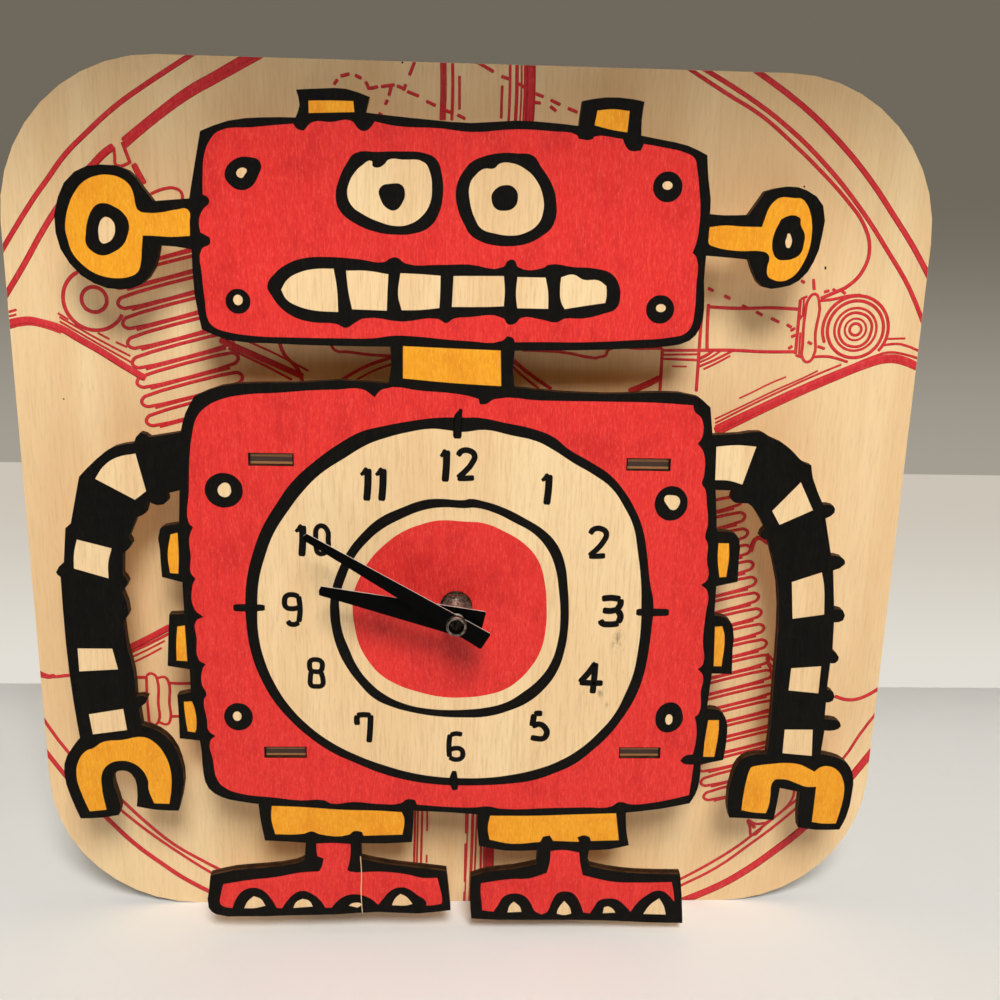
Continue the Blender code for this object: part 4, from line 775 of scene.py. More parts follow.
FOOT_LEFT = [
    (-50.9, -109, 1), (-45.2, -108.8), (-39.3, -109.2, 1), (-39.3, -113), (-39.8, -116.6),
    (-40.5, -119.3), (-39.3, -120), (-29, -120), (-20, -121.1), (-14.6, -122.5), (-9.4, -122.5, 1),
    (-8.7, -125.6), (-7.7, -131), (-7.8, -132.8), (-11, -133.4), (-13.2, -133.5), (-13.2, -132.1),
    (-16.4, -129.2), (-19.1, -127), (-21.8, -126.2), (-25.4, -127.4), (-28.1, -130.6), (-29.9, -133.1, 1),
    (-32.6, -130.6), (-35.8, -129.2), (-38.9, -128.9), (-41.6, -129.7), (-44.3, -131.9), (-46.1, -134.2),
    (-48.2, -134.2), (-50.1, -131), (-53.3, -128.3), (-56, -127.4), (-59.1, -128.8), (-61.4, -131.5),
    (-63.2, -134.3), (-65, -134.2), (-66.8, -130.6), (-69.9, -127), (-73.5, -126.2), (-76.7, -127.6),
    (-78.9, -130.6), (-80.3, -134.2), (-83.4, -133.4), (-84.3, -132.4), (-83.9, -128.3), (-83, -124.7),
    (-74, -123.1), (-65, -122), (-56, -120.2), (-50.1, -119.8), (-49.2, -118), (-48.5, -114.8),
    (-50.6, -113.9), (-50.9, -111.2),
]
FOOT_RIGHT = [
    (29.7, -112.1, 1), (34, -111.7), (39.6, -112.7, 1), (40.1, -116.6), (41.2, -121.6), (45.7, -122.9),
    (52, -124.3), (61, -124.7), (72.7, -124.5, 1), (73.6, -128.3), (74.1, -132.4, 1), (72.7, -130.6),
    (70, -128.3), (67.3, -128), (64.2, -129.7), (61, -132.8), (58.8, -136.4, 1), (56.5, -133.7),
    (53.8, -131.5), (50.2, -131), (47.3, -131.9), (45.7, -134.6), (44.4, -137), (42.1, -136.6),
    (40.3, -131.9), (38.5, -129.2), (35.8, -128.1), (32.7, -128.8), (30.9, -131.9), (29.1, -136.4),
    (27.3, -137.3), (25, -136), (23.2, -132.4), (21, -129.8), (17.4, -128.8), (13.8, -130.1),
    (12, -133.3), (10.4, -136.1), (6.4, -135.5), (6.1, -131.9), (5.7, -128.3), (5.8, -124.7),
    (16, -123.1), (22.3, -122.9), (28.6, -120.7), (29.5, -116.6),
]
TOES = [
    [(-76.2, -134.2), (-74.9, -131.5), (-72.8, -129.5), (-70.4, -130.6), (-68.9, -133.3), (-72.6, -134.2)],
    [(-59.3, -134.2), (-58.2, -131.9), (-56, -130.6), (-53.7, -131.5), (-52.6, -133.7)],
    [(-40.1, -133.4), (-38.9, -132.5), (-36.2, -132.4), (-35.3, -133), (-37.1, -134.2)],
    [(-25.1, -133.3), (-24, -130.6), (-22.2, -128.8), (-20, -130.1), (-18, -132.8), (-20, -133.4)],
    [(15.3, -136.4), (16, -133.7), (17.4, -132.1), (19.6, -134.2), (20.2, -136.2)],
    [(32.7, -137), (33.1, -135.1), (35.1, -131.9), (37.2, -134.6), (37.8, -137), (35.4, -137.6)],
    [(49, -136.9), (49.3, -134.6), (50.7, -134.2), (52.5, -135.3), (53.4, -136.7)],
    [(63.4, -137.3), (65.5, -133.7), (68.7, -131), (70.5, -134.2), (71.4, -137.6)],
]
SLOT_WIDTH = 13.4
SLOT_HEIGHT = 3.4
SLOTS = [(-62.5, 25.7), (55.8, 25.7), (-60.5, -74.6), (58.6, -74.6)]


def slot_outline(x, y, margin):
    """The cut-out for a tab, with a margin all round."""
    across, up = SLOT_WIDTH / 2 + margin, SLOT_HEIGHT / 2 + margin
    return [
        (x - across, y + up, 1), (x + across, y + up, 1), (x + across, y - up, 1),
        (x - across, y - up, 1),
    ]


# Digits as pen strokes in a unit box, and how heavy the pen is.
DIGITS = {
    "0": (0.80, [[
        (0.50, 1.00), (0.14, 0.92), (0.02, 0.60), (0.04, 0.22), (0.20, 0.02), (0.60, 0.00), (0.94, 0.14),
        (1.00, 0.50), (0.94, 0.84), (0.50, 1.00),
    ]]),
    "1": (1.10, [
        [(-0.06, 0.80, 0.55), (0.46, 0.89, 0.75), (0.92, 1.00, 0.9)],
        [(0.94, 1.00), (0.90, 0.50), (0.72, 0.00)],
    ]),
    "2": (0.90, [
        [
            (0.04, 0.82), (0.22, 0.97), (0.68, 1.00), (0.98, 0.84), (0.84, 0.56), (0.48, 0.28),
            (0.06, 0.04),
        ],
        [(0.04, 0.03), (0.50, 0.03), (0.98, 0.05)],
    ]),
    "3": (1.04, [
        [(0.03, 0.96), (0.50, 0.99), (0.96, 0.95)], [(0.97, 0.95), (0.96, 0.74), (0.82, 0.56)],
        [(0.10, 0.52), (0.46, 0.50), (0.84, 0.55)], [(0.84, 0.55), (1.00, 0.32), (0.92, 0.05)],
        [(0.94, 0.03), (0.48, 0.00), (0.10, 0.04), (0.00, 0.16)],
    ]),
    "4": (1.02, [
        [(0.66, 1.00), (0.38, 0.68), (0.03, 0.36)], [(0.02, 0.36), (0.50, 0.34), (0.99, 0.34)],
        [(0.64, 1.00), (0.62, 0.50), (0.58, 0.00)],
    ]),
    "5": (1.0, [
        [(0.68, 0.99), (0.40, 1.00), (0.18, 0.97)], [(0.18, 0.97), (0.14, 0.75), (0.08, 0.50)],
        [
            (0.08, 0.50), (0.50, 0.58), (0.92, 0.40), (0.98, 0.18), (0.78, 0.02), (0.36, 0.02),
            (0.02, 0.06),
        ],
    ]),
    "6": (0.85, [
        [(0.94, 0.97), (0.50, 1.00), (0.12, 0.95)], [(0.10, 0.97), (0.04, 0.60), (0.08, 0.10)],
        [
            (0.06, 0.08), (0.50, 0.00), (0.90, 0.06), (1.00, 0.24), (0.86, 0.40), (0.46, 0.44),
            (0.08, 0.38),
        ],
    ]),
    "7": (0.95, [
        [(0.05, 0.62), (0.02, 0.80), (0.04, 0.97)], [(0.02, 0.97), (0.50, 0.99), (0.97, 0.97)],
        [(0.96, 0.98), (0.92, 0.50), (0.84, 0.00)],
    ]),
    "8": (0.82, [
        [
            (0.10, 0.95), (0.50, 1.00), (0.88, 0.93), (0.96, 0.74), (0.80, 0.57), (0.46, 0.55),
            (0.12, 0.60), (0.02, 0.78), (0.10, 0.95),
        ],
        [
            (0.12, 0.56), (0.06, 0.30), (0.12, 0.04), (0.50, 0.00), (0.92, 0.04), (0.98, 0.30),
            (0.84, 0.56),
        ],
    ]),
    "9": (0.85, [
        [
            (0.92, 0.94), (0.56, 1.00), (0.16, 0.96), (0.02, 0.76), (0.12, 0.58), (0.52, 0.53),
            (0.92, 0.57),
        ],
        [(0.90, 0.96), (0.97, 0.50), (0.88, 0.08)],
        [(0.90, 0.06), (0.60, 0.00), (0.30, 0.03), (0.18, 0.12)],
    ]),
}
# Each digit's box on the dial: left, right, bottom, top of its pen line.
HOURS = [
    ("1", -9.7, -7.8, 19.3, 29.4), ("2", -4.7, 0.9, 20.2, 29.4),
    ("1", 22.3, 24.6, 12.2, 22.0),
    ("2", 38.0, 43.6, -5.1, 4.4),
    ("3", 42.9, 49.5, -28.2, -18.9),
    ("4", 36.9, 44.9, -52.8, -41.8),
    ("5", 21.3, 26.8, -69.5, -60.1),
    ("6", -6.2, -1.3, -77.2, -67.6),
    ("7", -36.8, -31.9, -70.9, -60.7),
    ("8", -52.0, -47.6, -50.7, -41.2),
    ("9", -59.6, -54.4, -29.0, -18.8),
    ("1", -55.3, -53.0, -5.8, 4.4), ("0", -49.2, -45.2, -4.8, 4.4),
    ("1", -34.6, -32.3, 12.8, 23.2), ("1", -29.9, -27.6, 12.8, 23.2),
]
PEN = 2.1
TICK_WIDTH = 2.7
TICKS = [
    [(-3.6, 42.6, 0.5), (-4.5, 40, 1.0), (-4.7, 33.2, 1.0)],
    [(-4.1, -81.4, 0.7), (-4.3, -85, 1.2), (-3.7, -88.6, 0.8)],
    [(54.6, -23.9, 0.9), (60, -23.9, 1.0), (65.4, -23.9, 0.9)],
    [(-75.9, -23.4, 0.9), (-70.5, -23.4, 1.0), (-65.8, -23.3, 0.8)],
]


def hour_strokes():
    """Pen strokes of the numerals, each digit fitted to its box, and of the four ticks."""
    strokes = []
    for digit, left, right, low, high in HOURS:
        wide, tall = right - left, high - low
        weight, lines = DIGITS[digit]
        for line in lines:
            placed = [(left + wide * x, low + tall * y, *press) for x, y, *press in line]
            strokes.append((placed, PEN * weight))
    return strokes + [(tick, TICK_WIDTH) for tick in TICKS]


# ---------------------------------------------------------------- front print

RED = ink_finish("red_print", INKS["red"])
ORANGE = ink_finish("orange_print", INKS["orange"])
BLACK = ink_finish("black_print", INKS["black"], 0.62, 0.1)
# Finger marks on the dial: x, z, half width and half height.
STAINS = [
    (49.2, -35 - HOOK_HEIGHT, 3.2, 6.5),
    (44.8, -52.5 - HOOK_HEIGHT, 2.4, 2.6),
    (46.8, -56.5 - HOOK_HEIGHT, 1.6, 2.2),
]
BARE = stained_birch("bare_birch", STAINS)
LINE_RED = ink_finish("line_print", INKS["line"])

# The red ink stops this far short of the tab slots and of the shaft's hole.
INK_MARGIN = 0.35
TAB_SLOTS = [slot_outline(x, y, INK_MARGIN) for x, y in SLOTS]
SHAFT_HOLE = ring_outline(SHAFT_X, SHAFT_Z + HOOK_HEIGHT, BUSHING_DIAMETER / 2 + INK_MARGIN, 24)

print_on(
    "red_ink",
    [
        [squared(HEAD_RED, turn=58), LEFT_EYE_RIM, RIGHT_EYE_RIM, MOUTH, *HEAD_RIVETS],
        [squared(BODY_RED, turn=58), DIAL_RIM, *BODY_RIVETS, *TAB_SLOTS],
        [RED_CENTRE, SHAFT_HOLE],
        [squared(FOOT_LEFT)],
        [squared(FOOT_RIGHT)],
    ],
    RED,
)
print_on(
    "orange_ink",
    [
        [EAR_LEFT, EAR_LEFT_HOLE],
        [EAR_RIGHT, EAR_RIGHT_HOLE],
        [squared(HIP_LEFT)],
        [squared(HIP_RIGHT)],
        *([squared(shape)] for shape in (*KNOBS_AND_NECK, *SIDE_BUMPS, *CLAWS)),
    ],
    ORANGE,
)
print_on(
    "bare_dial_and_details",
    [
        [DIAL, INNER_RING_RIM],
        [INNER_RING, RED_CENTRE],
        [LEFT_EYE, LEFT_PUPIL],
        [RIGHT_EYE, RIGHT_PUPIL],
        *([squared(shape)] for shape in (*TEETH, *ARM_BANDS, *TOES)),
        *([shape] for shape in (*HEAD_RIVET_DOTS, *BODY_RIVET_DOTS, *EAR_EYES)),
    ],
    BARE,
)
NUMERALS = brushed(hour_strokes(), PEN_THICKNESS)
PEN_PLACE = upright(FACE - INK_PROUD)
piece_from("numerals_and_ticks", [(NUMERALS, PEN_PLACE)], BLACK)

# ---------------------------------------------------------------- the drawing on the panel
# A red engineering drawing, as pen paths with their widths in millimetres.

RIM_LINES = [
    ([
        (-146, 87), (-135.5, 102.3), (-131.3, 107.6), (-125, 115.5), (-118.6, 121.6), (-109.2, 129.7),
        (-98.6, 137), (-85.5, 145.2),
    ], 1.3),
    ([
        (-146, 73.4), (-139.7, 82.8), (-134.4, 91.3), (-128.6, 99.7), (-122, 107.6), (-117.6, 112.3),
        (-110.2, 118.3),
    ], 1.5),
    ([(-107.4, 119.8), (-96.5, 128.3), (-87, 135.1), (-78.6, 139.8), (-70.2, 144.6)], 1.7),
    ([(-107, 119), (-97.2, 127), (-87, 134.1), (-78, 139.1), (-68.4, 144.6)], 0.7),
    ([(-107, 118.2), (-97.6, 125.8), (-87, 133.2), (-77.6, 138.4), (-66, 144.7)], 1.1),
    ([(-116.8, 112.8), (-113, 116.4), (-110.2, 118.4)], 1.9),
    ([
        (86, 144.8), (100.7, 135.5), (113.4, 125), (123.9, 114.4), (133.4, 102.8), (140.7, 93.4),
        (146, 85.5),
    ], 1.5),
    ([
        (70.2, 144.8), (82.8, 138.1), (96.5, 129.2), (109.2, 118.6), (121.8, 105.5), (132.3, 92.3),
        (140.7, 80.7), (146, 70.7),
    ], 1.2),
    ([
        (65.5, 144.8), (76.5, 138.6), (88.1, 132.3), (98.6, 124.4), (109.2, 115.5), (118.6, 106.5),
        (123.4, 100.7), (126.2, 93.4), (125, 86.5), (120.7, 81.3), (115.5, 78.6), (112, 77),
    ], 1.0),
    ([
        (-146, -72.3), (-138.6, -85), (-131, -93.5), (-123.4, -101.3), (-114.4, -111.3), (-103.9, -121.3),
        (-95.5, -127), (-84, -134),
    ], 1.0),
    ([
        (-133, -96.4), (-121.3, -108.1), (-112.3, -116.5), (-103.9, -123.4), (-91.3, -132.8),
        (-82, -138.6),
    ], 0.9),
    ([
        (-146, -85), (-140.7, -93.4), (-134, -102.5), (-127, -110.7), (-118.6, -120.2), (-109.2, -128.6),
        (-99.7, -136), (-87, -143.4),
    ], 1.4),
    ([
        (76, -138.6), (81.3, -135.5), (91.3, -129.2), (100.7, -122.3), (109.2, -114.4), (117, -107),
        (128, -96.4), (136.5, -86.5), (141.8, -76.5), (146, -69.7),
    ], 0.9),
    ([
        (74, -142.2), (81.3, -138.4), (93.4, -131.3), (104.9, -121.8), (114.4, -113.4), (121.8, -106),
        (130, -97.6),
    ], 0.9),
    ([(119.7, -98), (119.2, -103), (115.4, -108.5), (110, -113)], 0.8),
    ([
        (84.4, -144), (95.5, -138.6), (104.9, -132.3), (114.4, -124.4), (123.9, -115.5), (133.4, -104),
        (141.3, -92.3), (146, -85),
    ], 2.4),
    ([(130.7, -62.3), (135.5, -63.7), (140.7, -62.8), (146, -59.2)], 1.1),
    ([(-146, -54.4), (-143, -56.1), (-136, -55.7), (-124, -56.2), (-110.2, -56.4)], 1.0),
    ([(-146, -55.4), (-143.6, -56.3), (-141, -55.9)], 1.3),
]
PULLEY_LINES = [
    (arc(-119.2, 72, 9.6, 118, 332, 16), 1.0),
    (ring_outline(-119.2, 72, 3.9) + [ring_outline(-119.2, 72, 3.9)[0]], 1.0),
    ([
        (-146, 63.9), (-140.7, 65.2), (-135.5, 64.4), (-130.2, 62.8), (-125, 59.7), (-118.6, 56),
        (-111.3, 51.3), (-104.6, 47.2),
    ], 1.9),
    ([(-146, 62.4), (-140.7, 63.9), (-135.5, 63.2), (-130.2, 61.4)], 0.7),
    ([(-130.4, 66.4), (-125, 63.2), (-118.6, 59.5), (-109, 54.4)], 0.6),
    ([(-130.8, 67.6), (-127.6, 65.6)], 0.6),
    ([(-130.4, 65), (-125, 61.8), (-118.6, 58), (-108.8, 52.4)], 0.6),
    ([(-118.8, 61.6), (-115.2, 59.6)], 0.6), ([(-113.4, 58.8), (-109.8, 57.2)], 0.6),
    ([(-146, 67.6), (-143.4, 68.4)], 0.7), ([(-146, 66.2), (-143.6, 66.9)], 0.6),
    ([(-107.6, 119.7), (-106.6, 116.6), (-105.5, 113.4)], 0.9),
    ([(-110.2, 118.1), (-110.1, 115.4), (-109.7, 112.8), (-105.4, 113.7)], 0.8),
    ([(-104.6, 113.4), (-103.2, 110.4), (-101.6, 107.4)], 1.6),
    ([(-100, 104.5), (-95.6, 106.2), (-92, 106.3), (-90.4, 105), (-90.6, 101.4)], 0.8),
]
HUB_LINES = [
    (arc(124.4, 67.3, 1.9, 0, 360, 8), 0.8),
    ([
        (129.6, 66.4, 1), (127.6, 62.6, 1), (123.4, 61.8, 1), (119.8, 64.2, 1), (119.2, 68.4, 1),
        (121.6, 72, 1), (126, 72.4, 1), (129.2, 70, 1), (129.6, 66.4, 1),
    ], 0.8),
    (arc(124.4, 67.3, 3.5, 20, 380, 10), 0.6), (arc(124.4, 67.3, 6.9, 0, 360, 14), 0.7),
    (arc(124.4, 67.3, 9.2, 0, 360, 16), 0.9), (arc(124.4, 67.3, 10.8, -40, 205, 16), 0.9),
    ([(111.3, 76.2), (116, 76.8), (121, 78), (125, 78.4)], 0.8),
    ([(111.3, 58.1), (116, 58.3), (119.7, 57.6), (123, 56.6)], 0.8),
    ([
        (108.2, 77), (107.4, 72), (107.5, 62), (108, 57.4), (109.6, 56.4), (111.3, 58), (111.3, 66),
        (111.5, 76.4), (110, 78.4), (108.2, 77),
    ], 0.8),
    ([(105.4, 76.6), (105.4, 58.8)], 0.9), ([(106.6, 76.8), (106.6, 71)], 0.6),
    ([(106.4, 66), (106.6, 58.4)], 0.6), ([(105.4, 76.6), (107.6, 77.6)], 0.7),
    ([(105.4, 58.6), (107.8, 57.8)], 0.7), ([(76, 73.6), (86, 73.3), (96, 73.7), (105.4, 73.4)], 0.9),
    ([(73.6, 59.6), (84, 59.8), (95, 59.5), (105.4, 59.7)], 0.9),
    ([(75.6, 74.6), (75.8, 66), (76.2, 59.6)], 0.9), ([(73.6, 75), (73.6, 46)], 0.9),
    ([(61.6, 60), (61.6, 46)], 0.9), ([(61.6, 59.3), (73.6, 59.6)], 0.8),
    ([(61.8, 57.9), (73.6, 58.3)], 0.6), ([(61.8, 56.6), (73.4, 56.4)], 0.7),
    ([(65, 54.2), (70, 54.2)], 0.5), ([(73.8, 55.6), (78, 57.6), (81, 59.8)], 0.6),
    ([(73.8, 54.2), (79, 56.6), (84.6, 59.6)], 0.7), ([(73.8, 56.8), (76.4, 58.2), (78.4, 59.8)], 0.9),
    ([(75.4, 53.4), (79.4, 55.4), (84, 58)], 0.6),
    ([
        (80.6, 33.1), (95, 40.4), (108, 46.8), (119.7, 52.2), (129.2, 56.3), (135.5, 58.2), (140.7, 57.9),
        (146, 55.6),
    ], 1.9),
    ([
        (82, 32.1), (95, 39), (108, 45.6), (119.7, 51), (129.2, 55.1), (135.5, 57), (140.7, 56.7),
        (146, 54.6),
    ], 1.0),
    ([
        (80.6, 34.4), (92, 40.2), (104, 46.2), (115, 51.4), (124, 55.3), (131, 58.4), (136, 60),
        (141, 59.6), (146, 58.2),
    ], 0.7),
    ([(80.6, 35.6), (92, 41.8), (103, 47.4), (112, 51.8), (121, 55.8)], 0.6),
    ([(80.4, 36.9), (90, 41.8), (100, 47), (108, 50.8), (113.4, 53.6)], 0.5),
    ([(88, 44), (92, 46), (98, 49.2), (103, 51.4)], 0.5), ([(134.4, 64.4), (141.3, 64.7)], 0.6),
    ([(134.4, 62.4), (140, 62.8), (146, 60.4)], 0.7), ([(-80.7, 60.2), (-68, 54.6), (-54.4, 48.8)], 1.7),
    ([(-78, 57.4), (-66, 51.8), (-58, 47.6)], 0.7), ([(-76, 61.6), (-64, 56.4), (-52.6, 50.6)], 0.6),
    ([(-62, 60.6), (-60.4, 56), (-56, 51), (-54.6, 47)], 1.0),
    ([(-46, 60.6), (-44, 57.4), (-40, 57), (-33, 56.2), (-24, 56)], 0.8),
    ([(-42, 48), (-34, 52.6), (-24, 56)], 0.9), ([(-40, 46.4), (-32, 51), (-22, 54.6)], 0.6),
    ([(13, 55.4), (18, 51.4), (26, 46)], 1.0), ([(13, 53.4), (17, 49.8), (22, 46)], 0.7),
    ([(16, 58.6), (28, 58.3), (43, 57.2), (44, 59.2), (54, 59.8), (61.6, 60)], 0.8),
    ([(51.3, 45.6), (56, 47.6), (61.4, 50.4)], 1.8),
]
SHAFT_LINES = [
    ([(-110.2, -55.8), (-110.4, -64), (-110.2, -73.2)], 0.8),
    ([
        (-110.2, -55.8), (-109, -54.9), (-107.4, -55.4), (-106.6, -57), (-106.7, -66), (-107, -73),
        (-108.4, -74.2), (-110.2, -73.2),
    ], 0.8),
    ([
        (-106.6, -56.6), (-104, -56.2), (-102.9, -57.6), (-102.9, -66), (-103, -72.6), (-104.2, -74),
        (-106.8, -73.2),
    ], 0.8),
    ([(-102.8, -58.4), (-98, -58.6), (-92, -58.3)], 0.9),
    ([(-102.8, -71), (-98, -70.9), (-92, -71)], 0.9),
    ([(-115.6, -45.6), (-108, -41.6), (-101, -37.6)], 1.9),
    ([(-115.2, -47.2), (-108, -43.6), (-101.4, -40)], 0.9),
    ([(-114.9, -49), (-109, -46), (-103.2, -42.8)], 0.6),
    ([(-114.6, -51), (-109.6, -48.4), (-104.4, -45.4)], 0.6),
    ([(103.4, -111.4), (104.6, -114.6), (105.6, -117.8), (109.2, -114.6)], 0.9),
    ([(103.4, -111.4), (106.6, -113.2), (110.2, -112.8)], 0.9), ([(105, -112.6), (106.4, -115)], 1.2),
    ([(105, -46.2), (107.4, -48.6), (110, -50)], 0.8),
    ([(104.8, -47.8), (107, -50.8), (109.6, -52.6)], 0.7),
    ([(105.6, -50), (107.2, -53), (107.4, -56)], 0.7), ([(96, -8.9), (98.2, -3.9), (102.2, -5.7)], 1.4),
]
UPPER_RODS = [
    (-10.8, 1.0), (-9.8, 0.6), (-7.6, 0.8), (9.8, 0.7), (11.9, 0.9), (13.3, 0.5), (14.5, 0.9), (16.2, 2.3),
]
LOWER_RODS = [(-17.6, 0.7), (-16.6, 0.6), (-15.1, 0.7), (1.4, 0.5), (3.2, 0.9), (4.6, 0.6)]
RIGHT_RODS = [(6.2, 0.7), (7.4, 0.6), (9.4, 2.6)]
BROKEN_RODS = [
    (-13.4, -107, -116), (-13.5, -125.6, -129), (0.6, -107.6, -117), (0.5, -121, -137), (0.4, -141, -144),
]
COLUMN_LINES = [
    *(([(x, 145.4), (x + 0.2, 137), (x, 128.4)], width) for x, width in UPPER_RODS),
    ([(-5.4, 141.4), (-5.3, 131.6)], 0.7),
    ([(7.6, 139), (7.5, 129.4)], 0.7),
    *(([(x, -94.6), (x - 0.2, -115), (x - 0.7, -143.5)], width) for x, width in LOWER_RODS),
    *(([(x, -96.0), (x, -126), (x + 0.2, -143.5)], width) for x, width in RIGHT_RODS),
    *(([(x, high), (x, low)], 0.6) for x, high, low in BROKEN_RODS),
]
DASHES = [
    [(1.9, 144.4), (5, 142.8)], [(7.2, 141.6), (10.3, 140.7)], [(12.4, 139.7), (14.8, 138.4)],
    [(17.6, 137), (20.4, 136)], [(22.4, 135.2), (25.6, 133.9)], [(27.8, 133), (31, 131.8)],
    [(17.4, 134.4), (19.6, 134.2)], [(22.4, 133.4), (24.4, 132)], [(-21.3, 136.5), (-17.6, 135.2)],
    [(-15.5, 133.9), (-12.5, 132.6)], [(-10.4, 131.6), (-7.4, 130.6)], [(-6, 130.2), (-3.4, 129)],
    [(-43.4, 137.8), (-42.2, 139.4)], [(-41.4, 140.3), (-38.6, 141)], [(-37, 140.8), (-35, 139.8)],
    [(-33.8, 139), (-32.6, 136.6)], [(-32.6, 137), (-30, 137.6)], [(-29.2, 137.6), (-25, 138.3)],
    [(-24.4, 138.1), (-22.2, 137.2)], [(-22.4, 136.6), (-21.6, 138.6)], [(-20.6, 141), (-19.8, 143)],
    [(-26, 137.8), (-26.8, 135)], [(-27.2, 134), (-27.9, 132.4)], [(-30, 130), (-28.8, 129.4)],
    [(75, 79.5), (77, 78.7)], [(80.5, 77.3), (82.6, 76.3)], [(86.5, 74.3), (88.8, 73.3)],
    [(91.2, 72.4), (93.5, 71.2)], [(96.3, 70.4), (99.2, 69.1)], [(101.6, 68.5), (103.4, 67.5)],
    [(103, 66.4), (104.6, 67.4)], [(103.4, 64.4), (105, 65.2)], [(104.2, 61.6), (102.8, 60.6)],
    [(109, 63), (110.6, 62.2)], [(112.4, 61.6), (115, 60.8)], [(106.4, 71.4), (105.2, 69.6)],
    [(109.6, 79.6), (109, 83.2)], [(112.8, 79), (114.6, 79.6)], [(115.6, 80.2), (117, 79)],
    [(118.6, 79.6), (120, 78.6)], [(105, 82.6), (106.4, 81.8)],
]


LINE_WEIGHT = 1.22
LINE_THICKNESS = 0.04
LINE_PLACE = upright(PANEL_FACE - 0.012)
DASH_WIDTH = 0.85
FRONT_WIRE = 0.92
BACK_WIRE = 0.7
SPECK_WIDTH = 0.6
SPECK_THICKNESS = 0.06
# Half the panel's width and height, and how near an edge a path has to end to run off it.
EDGE_MARGIN = 0.05
PANEL_HALF = tuple(
    (high - low) / 2 / MM - EDGE_MARGIN for low, high in list(zip(*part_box("back_panel")))[::2]
)
EDGE_REACH = 2.0


def coil_spring(first, step, turns, reach, wire):
    """Side view of a coil spring.

    Each front turn is a slanting loop of wire, and a thin line beside it is the turn behind.
    """
    lines = []
    across = Vector(reach)
    cap = across.normalized() * wire
    side = Vector((-across.y, across.x)).normalized() * wire
    for i in range(turns):
        start = Vector(first) + Vector(step) * i
        end = start + across
        loop = [start + side, start - cap * 0.7 + side * 0.6, start - cap]
        loop += [start - cap * 0.7 - side * 0.6, start - side, end - side]
        loop += [end + cap * 0.7 - side * 0.6, end + cap, end + cap * 0.7 + side * 0.6]
        loop += [end + side, start + side]
        behind = [start - side * 1.55 + cap, (start + end) / 2 - side * 1.5, end - side * 1.6 - cap]
        lines.append(([tuple(p) for p in loop], FRONT_WIRE))
        lines.append(([tuple(p) for p in behind], BACK_WIRE))
    return lines


def run_off(points):
    """The pen path, carried on past the panel's edge at an end that reaches it."""
    made = [tuple(p) for p in points]
    for end, inner in ((0, 1), (-1, -2)):
        spot, before = Vector(made[end][:2]), Vector(made[inner][:2])
        if min(half - abs(part) for half, part in zip(PANEL_HALF, spot)) < EDGE_REACH:
            made[end] = tuple(spot + (spot - before).normalized() * 2 * EDGE_REACH)
    return made


def trimmed(data):
    """The drawing cut off at the panel's four straight edges."""
    work = bmesh.new()
    work.from_mesh(data)
    for axis, half in enumerate(PANEL_HALF):
        for sign in (-1, 1):
            normal = Vector((0, 0, 0))
            normal[axis] = sign
            geometry = work.verts[:] + work.edges[:] + work.faces[:]
            bmesh.ops.bisect_plane(
                work, geom=geometry, plane_co=normal * half, plane_no=normal, clear_outer=True
            )
            rims = [edge for edge in work.edges if edge.is_boundary]
            bmesh.ops.holes_fill(work, edges=rims, sides=0)
    work.to_mesh(data)
    work.free()
    return data


PANEL_DRAWING = [
    *RIM_LINES, *PULLEY_LINES, *HUB_LINES, *SHAFT_LINES, *COLUMN_LINES,
    *((dash, DASH_WIDTH) for dash in DASHES),
    *coil_spring((-112.4, 83.6), (1.12, -6.25), 9, (29, 8.2), 1.75),
    *coil_spring((62.6, 1.6), (1.42, -5.75), 19, (27.6, 7.6), 1.6),
]
SPECKS = [
    [(112.5, 87.2), (112.6, 86.2)], [(-22.8, 144.9), (-22.6, 144.4)], [(103.2, 111.8), (103.5, 111.4)],
    [(-131, 40.4), (-131, 40)], [(84, 35.8), (85.2, 35.4)],
]

STROKES = [(run_off(points), width * LINE_WEIGHT) for points, width in PANEL_DRAWING]
DRAWN = trimmed(brushed(STROKES, LINE_THICKNESS))
piece_from("panel_drawing", [(DRAWN, LINE_PLACE)], LINE_RED)
SPECKLED = brushed([(speck, SPECK_WIDTH) for speck in SPECKS], SPECK_THICKNESS)
piece_from("panel_specks", [(SPECKLED, LINE_PLACE)], BLACK)


# ---------------------------------------------------------------- thread and split

THREAD_PITCH = 0.75
THREAD_DEPTH = 0.13
THREAD_END = 0.7
THREAD_STEPS = 24


def screw_thread():
    """The ridge of the bushing's thread, winding from the face of its nut to near its front end."""
    depth = THREAD_DEPTH * MM
    radius = BUSHING_DIAMETER / 2 * MM - depth * 0.25
    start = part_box("hex_nut")[0].y
    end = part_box("threaded_bushing")[0].y + THREAD_END * MM
    steps = int((start - end) / (THREAD_PITCH * MM) * THREAD_STEPS)
    curve = bpy.data.curves.new("thread", "CURVE")
    curve.dimensions = "3D"
    curve.bevel_depth = depth
    curve.bevel_resolution = 1
    curve.use_fill_caps = True
    spline = curve.splines.new("POLY")
    spline.points.add(steps)
    for i, point in enumerate(spline.points):
        turn = 2 * math.pi * i / THREAD_STEPS
        x = SHAFT_X * MM + radius * math.cos(turn)
        z = SHAFT_Z * MM + radius * math.sin(turn)
        point.co = (x, start + (end - start) * i / steps, z, 1)
    return meshed(curve)


THREAD_METAL = metal_finish(
    "thread_metal", colour(206, 190, 176), colour(66, 55, 47), rough=0.36, scale=1200
)
piece_from("bushing_thread", [(screw_thread(), Matrix.Identity(4))], THREAD_METAL)

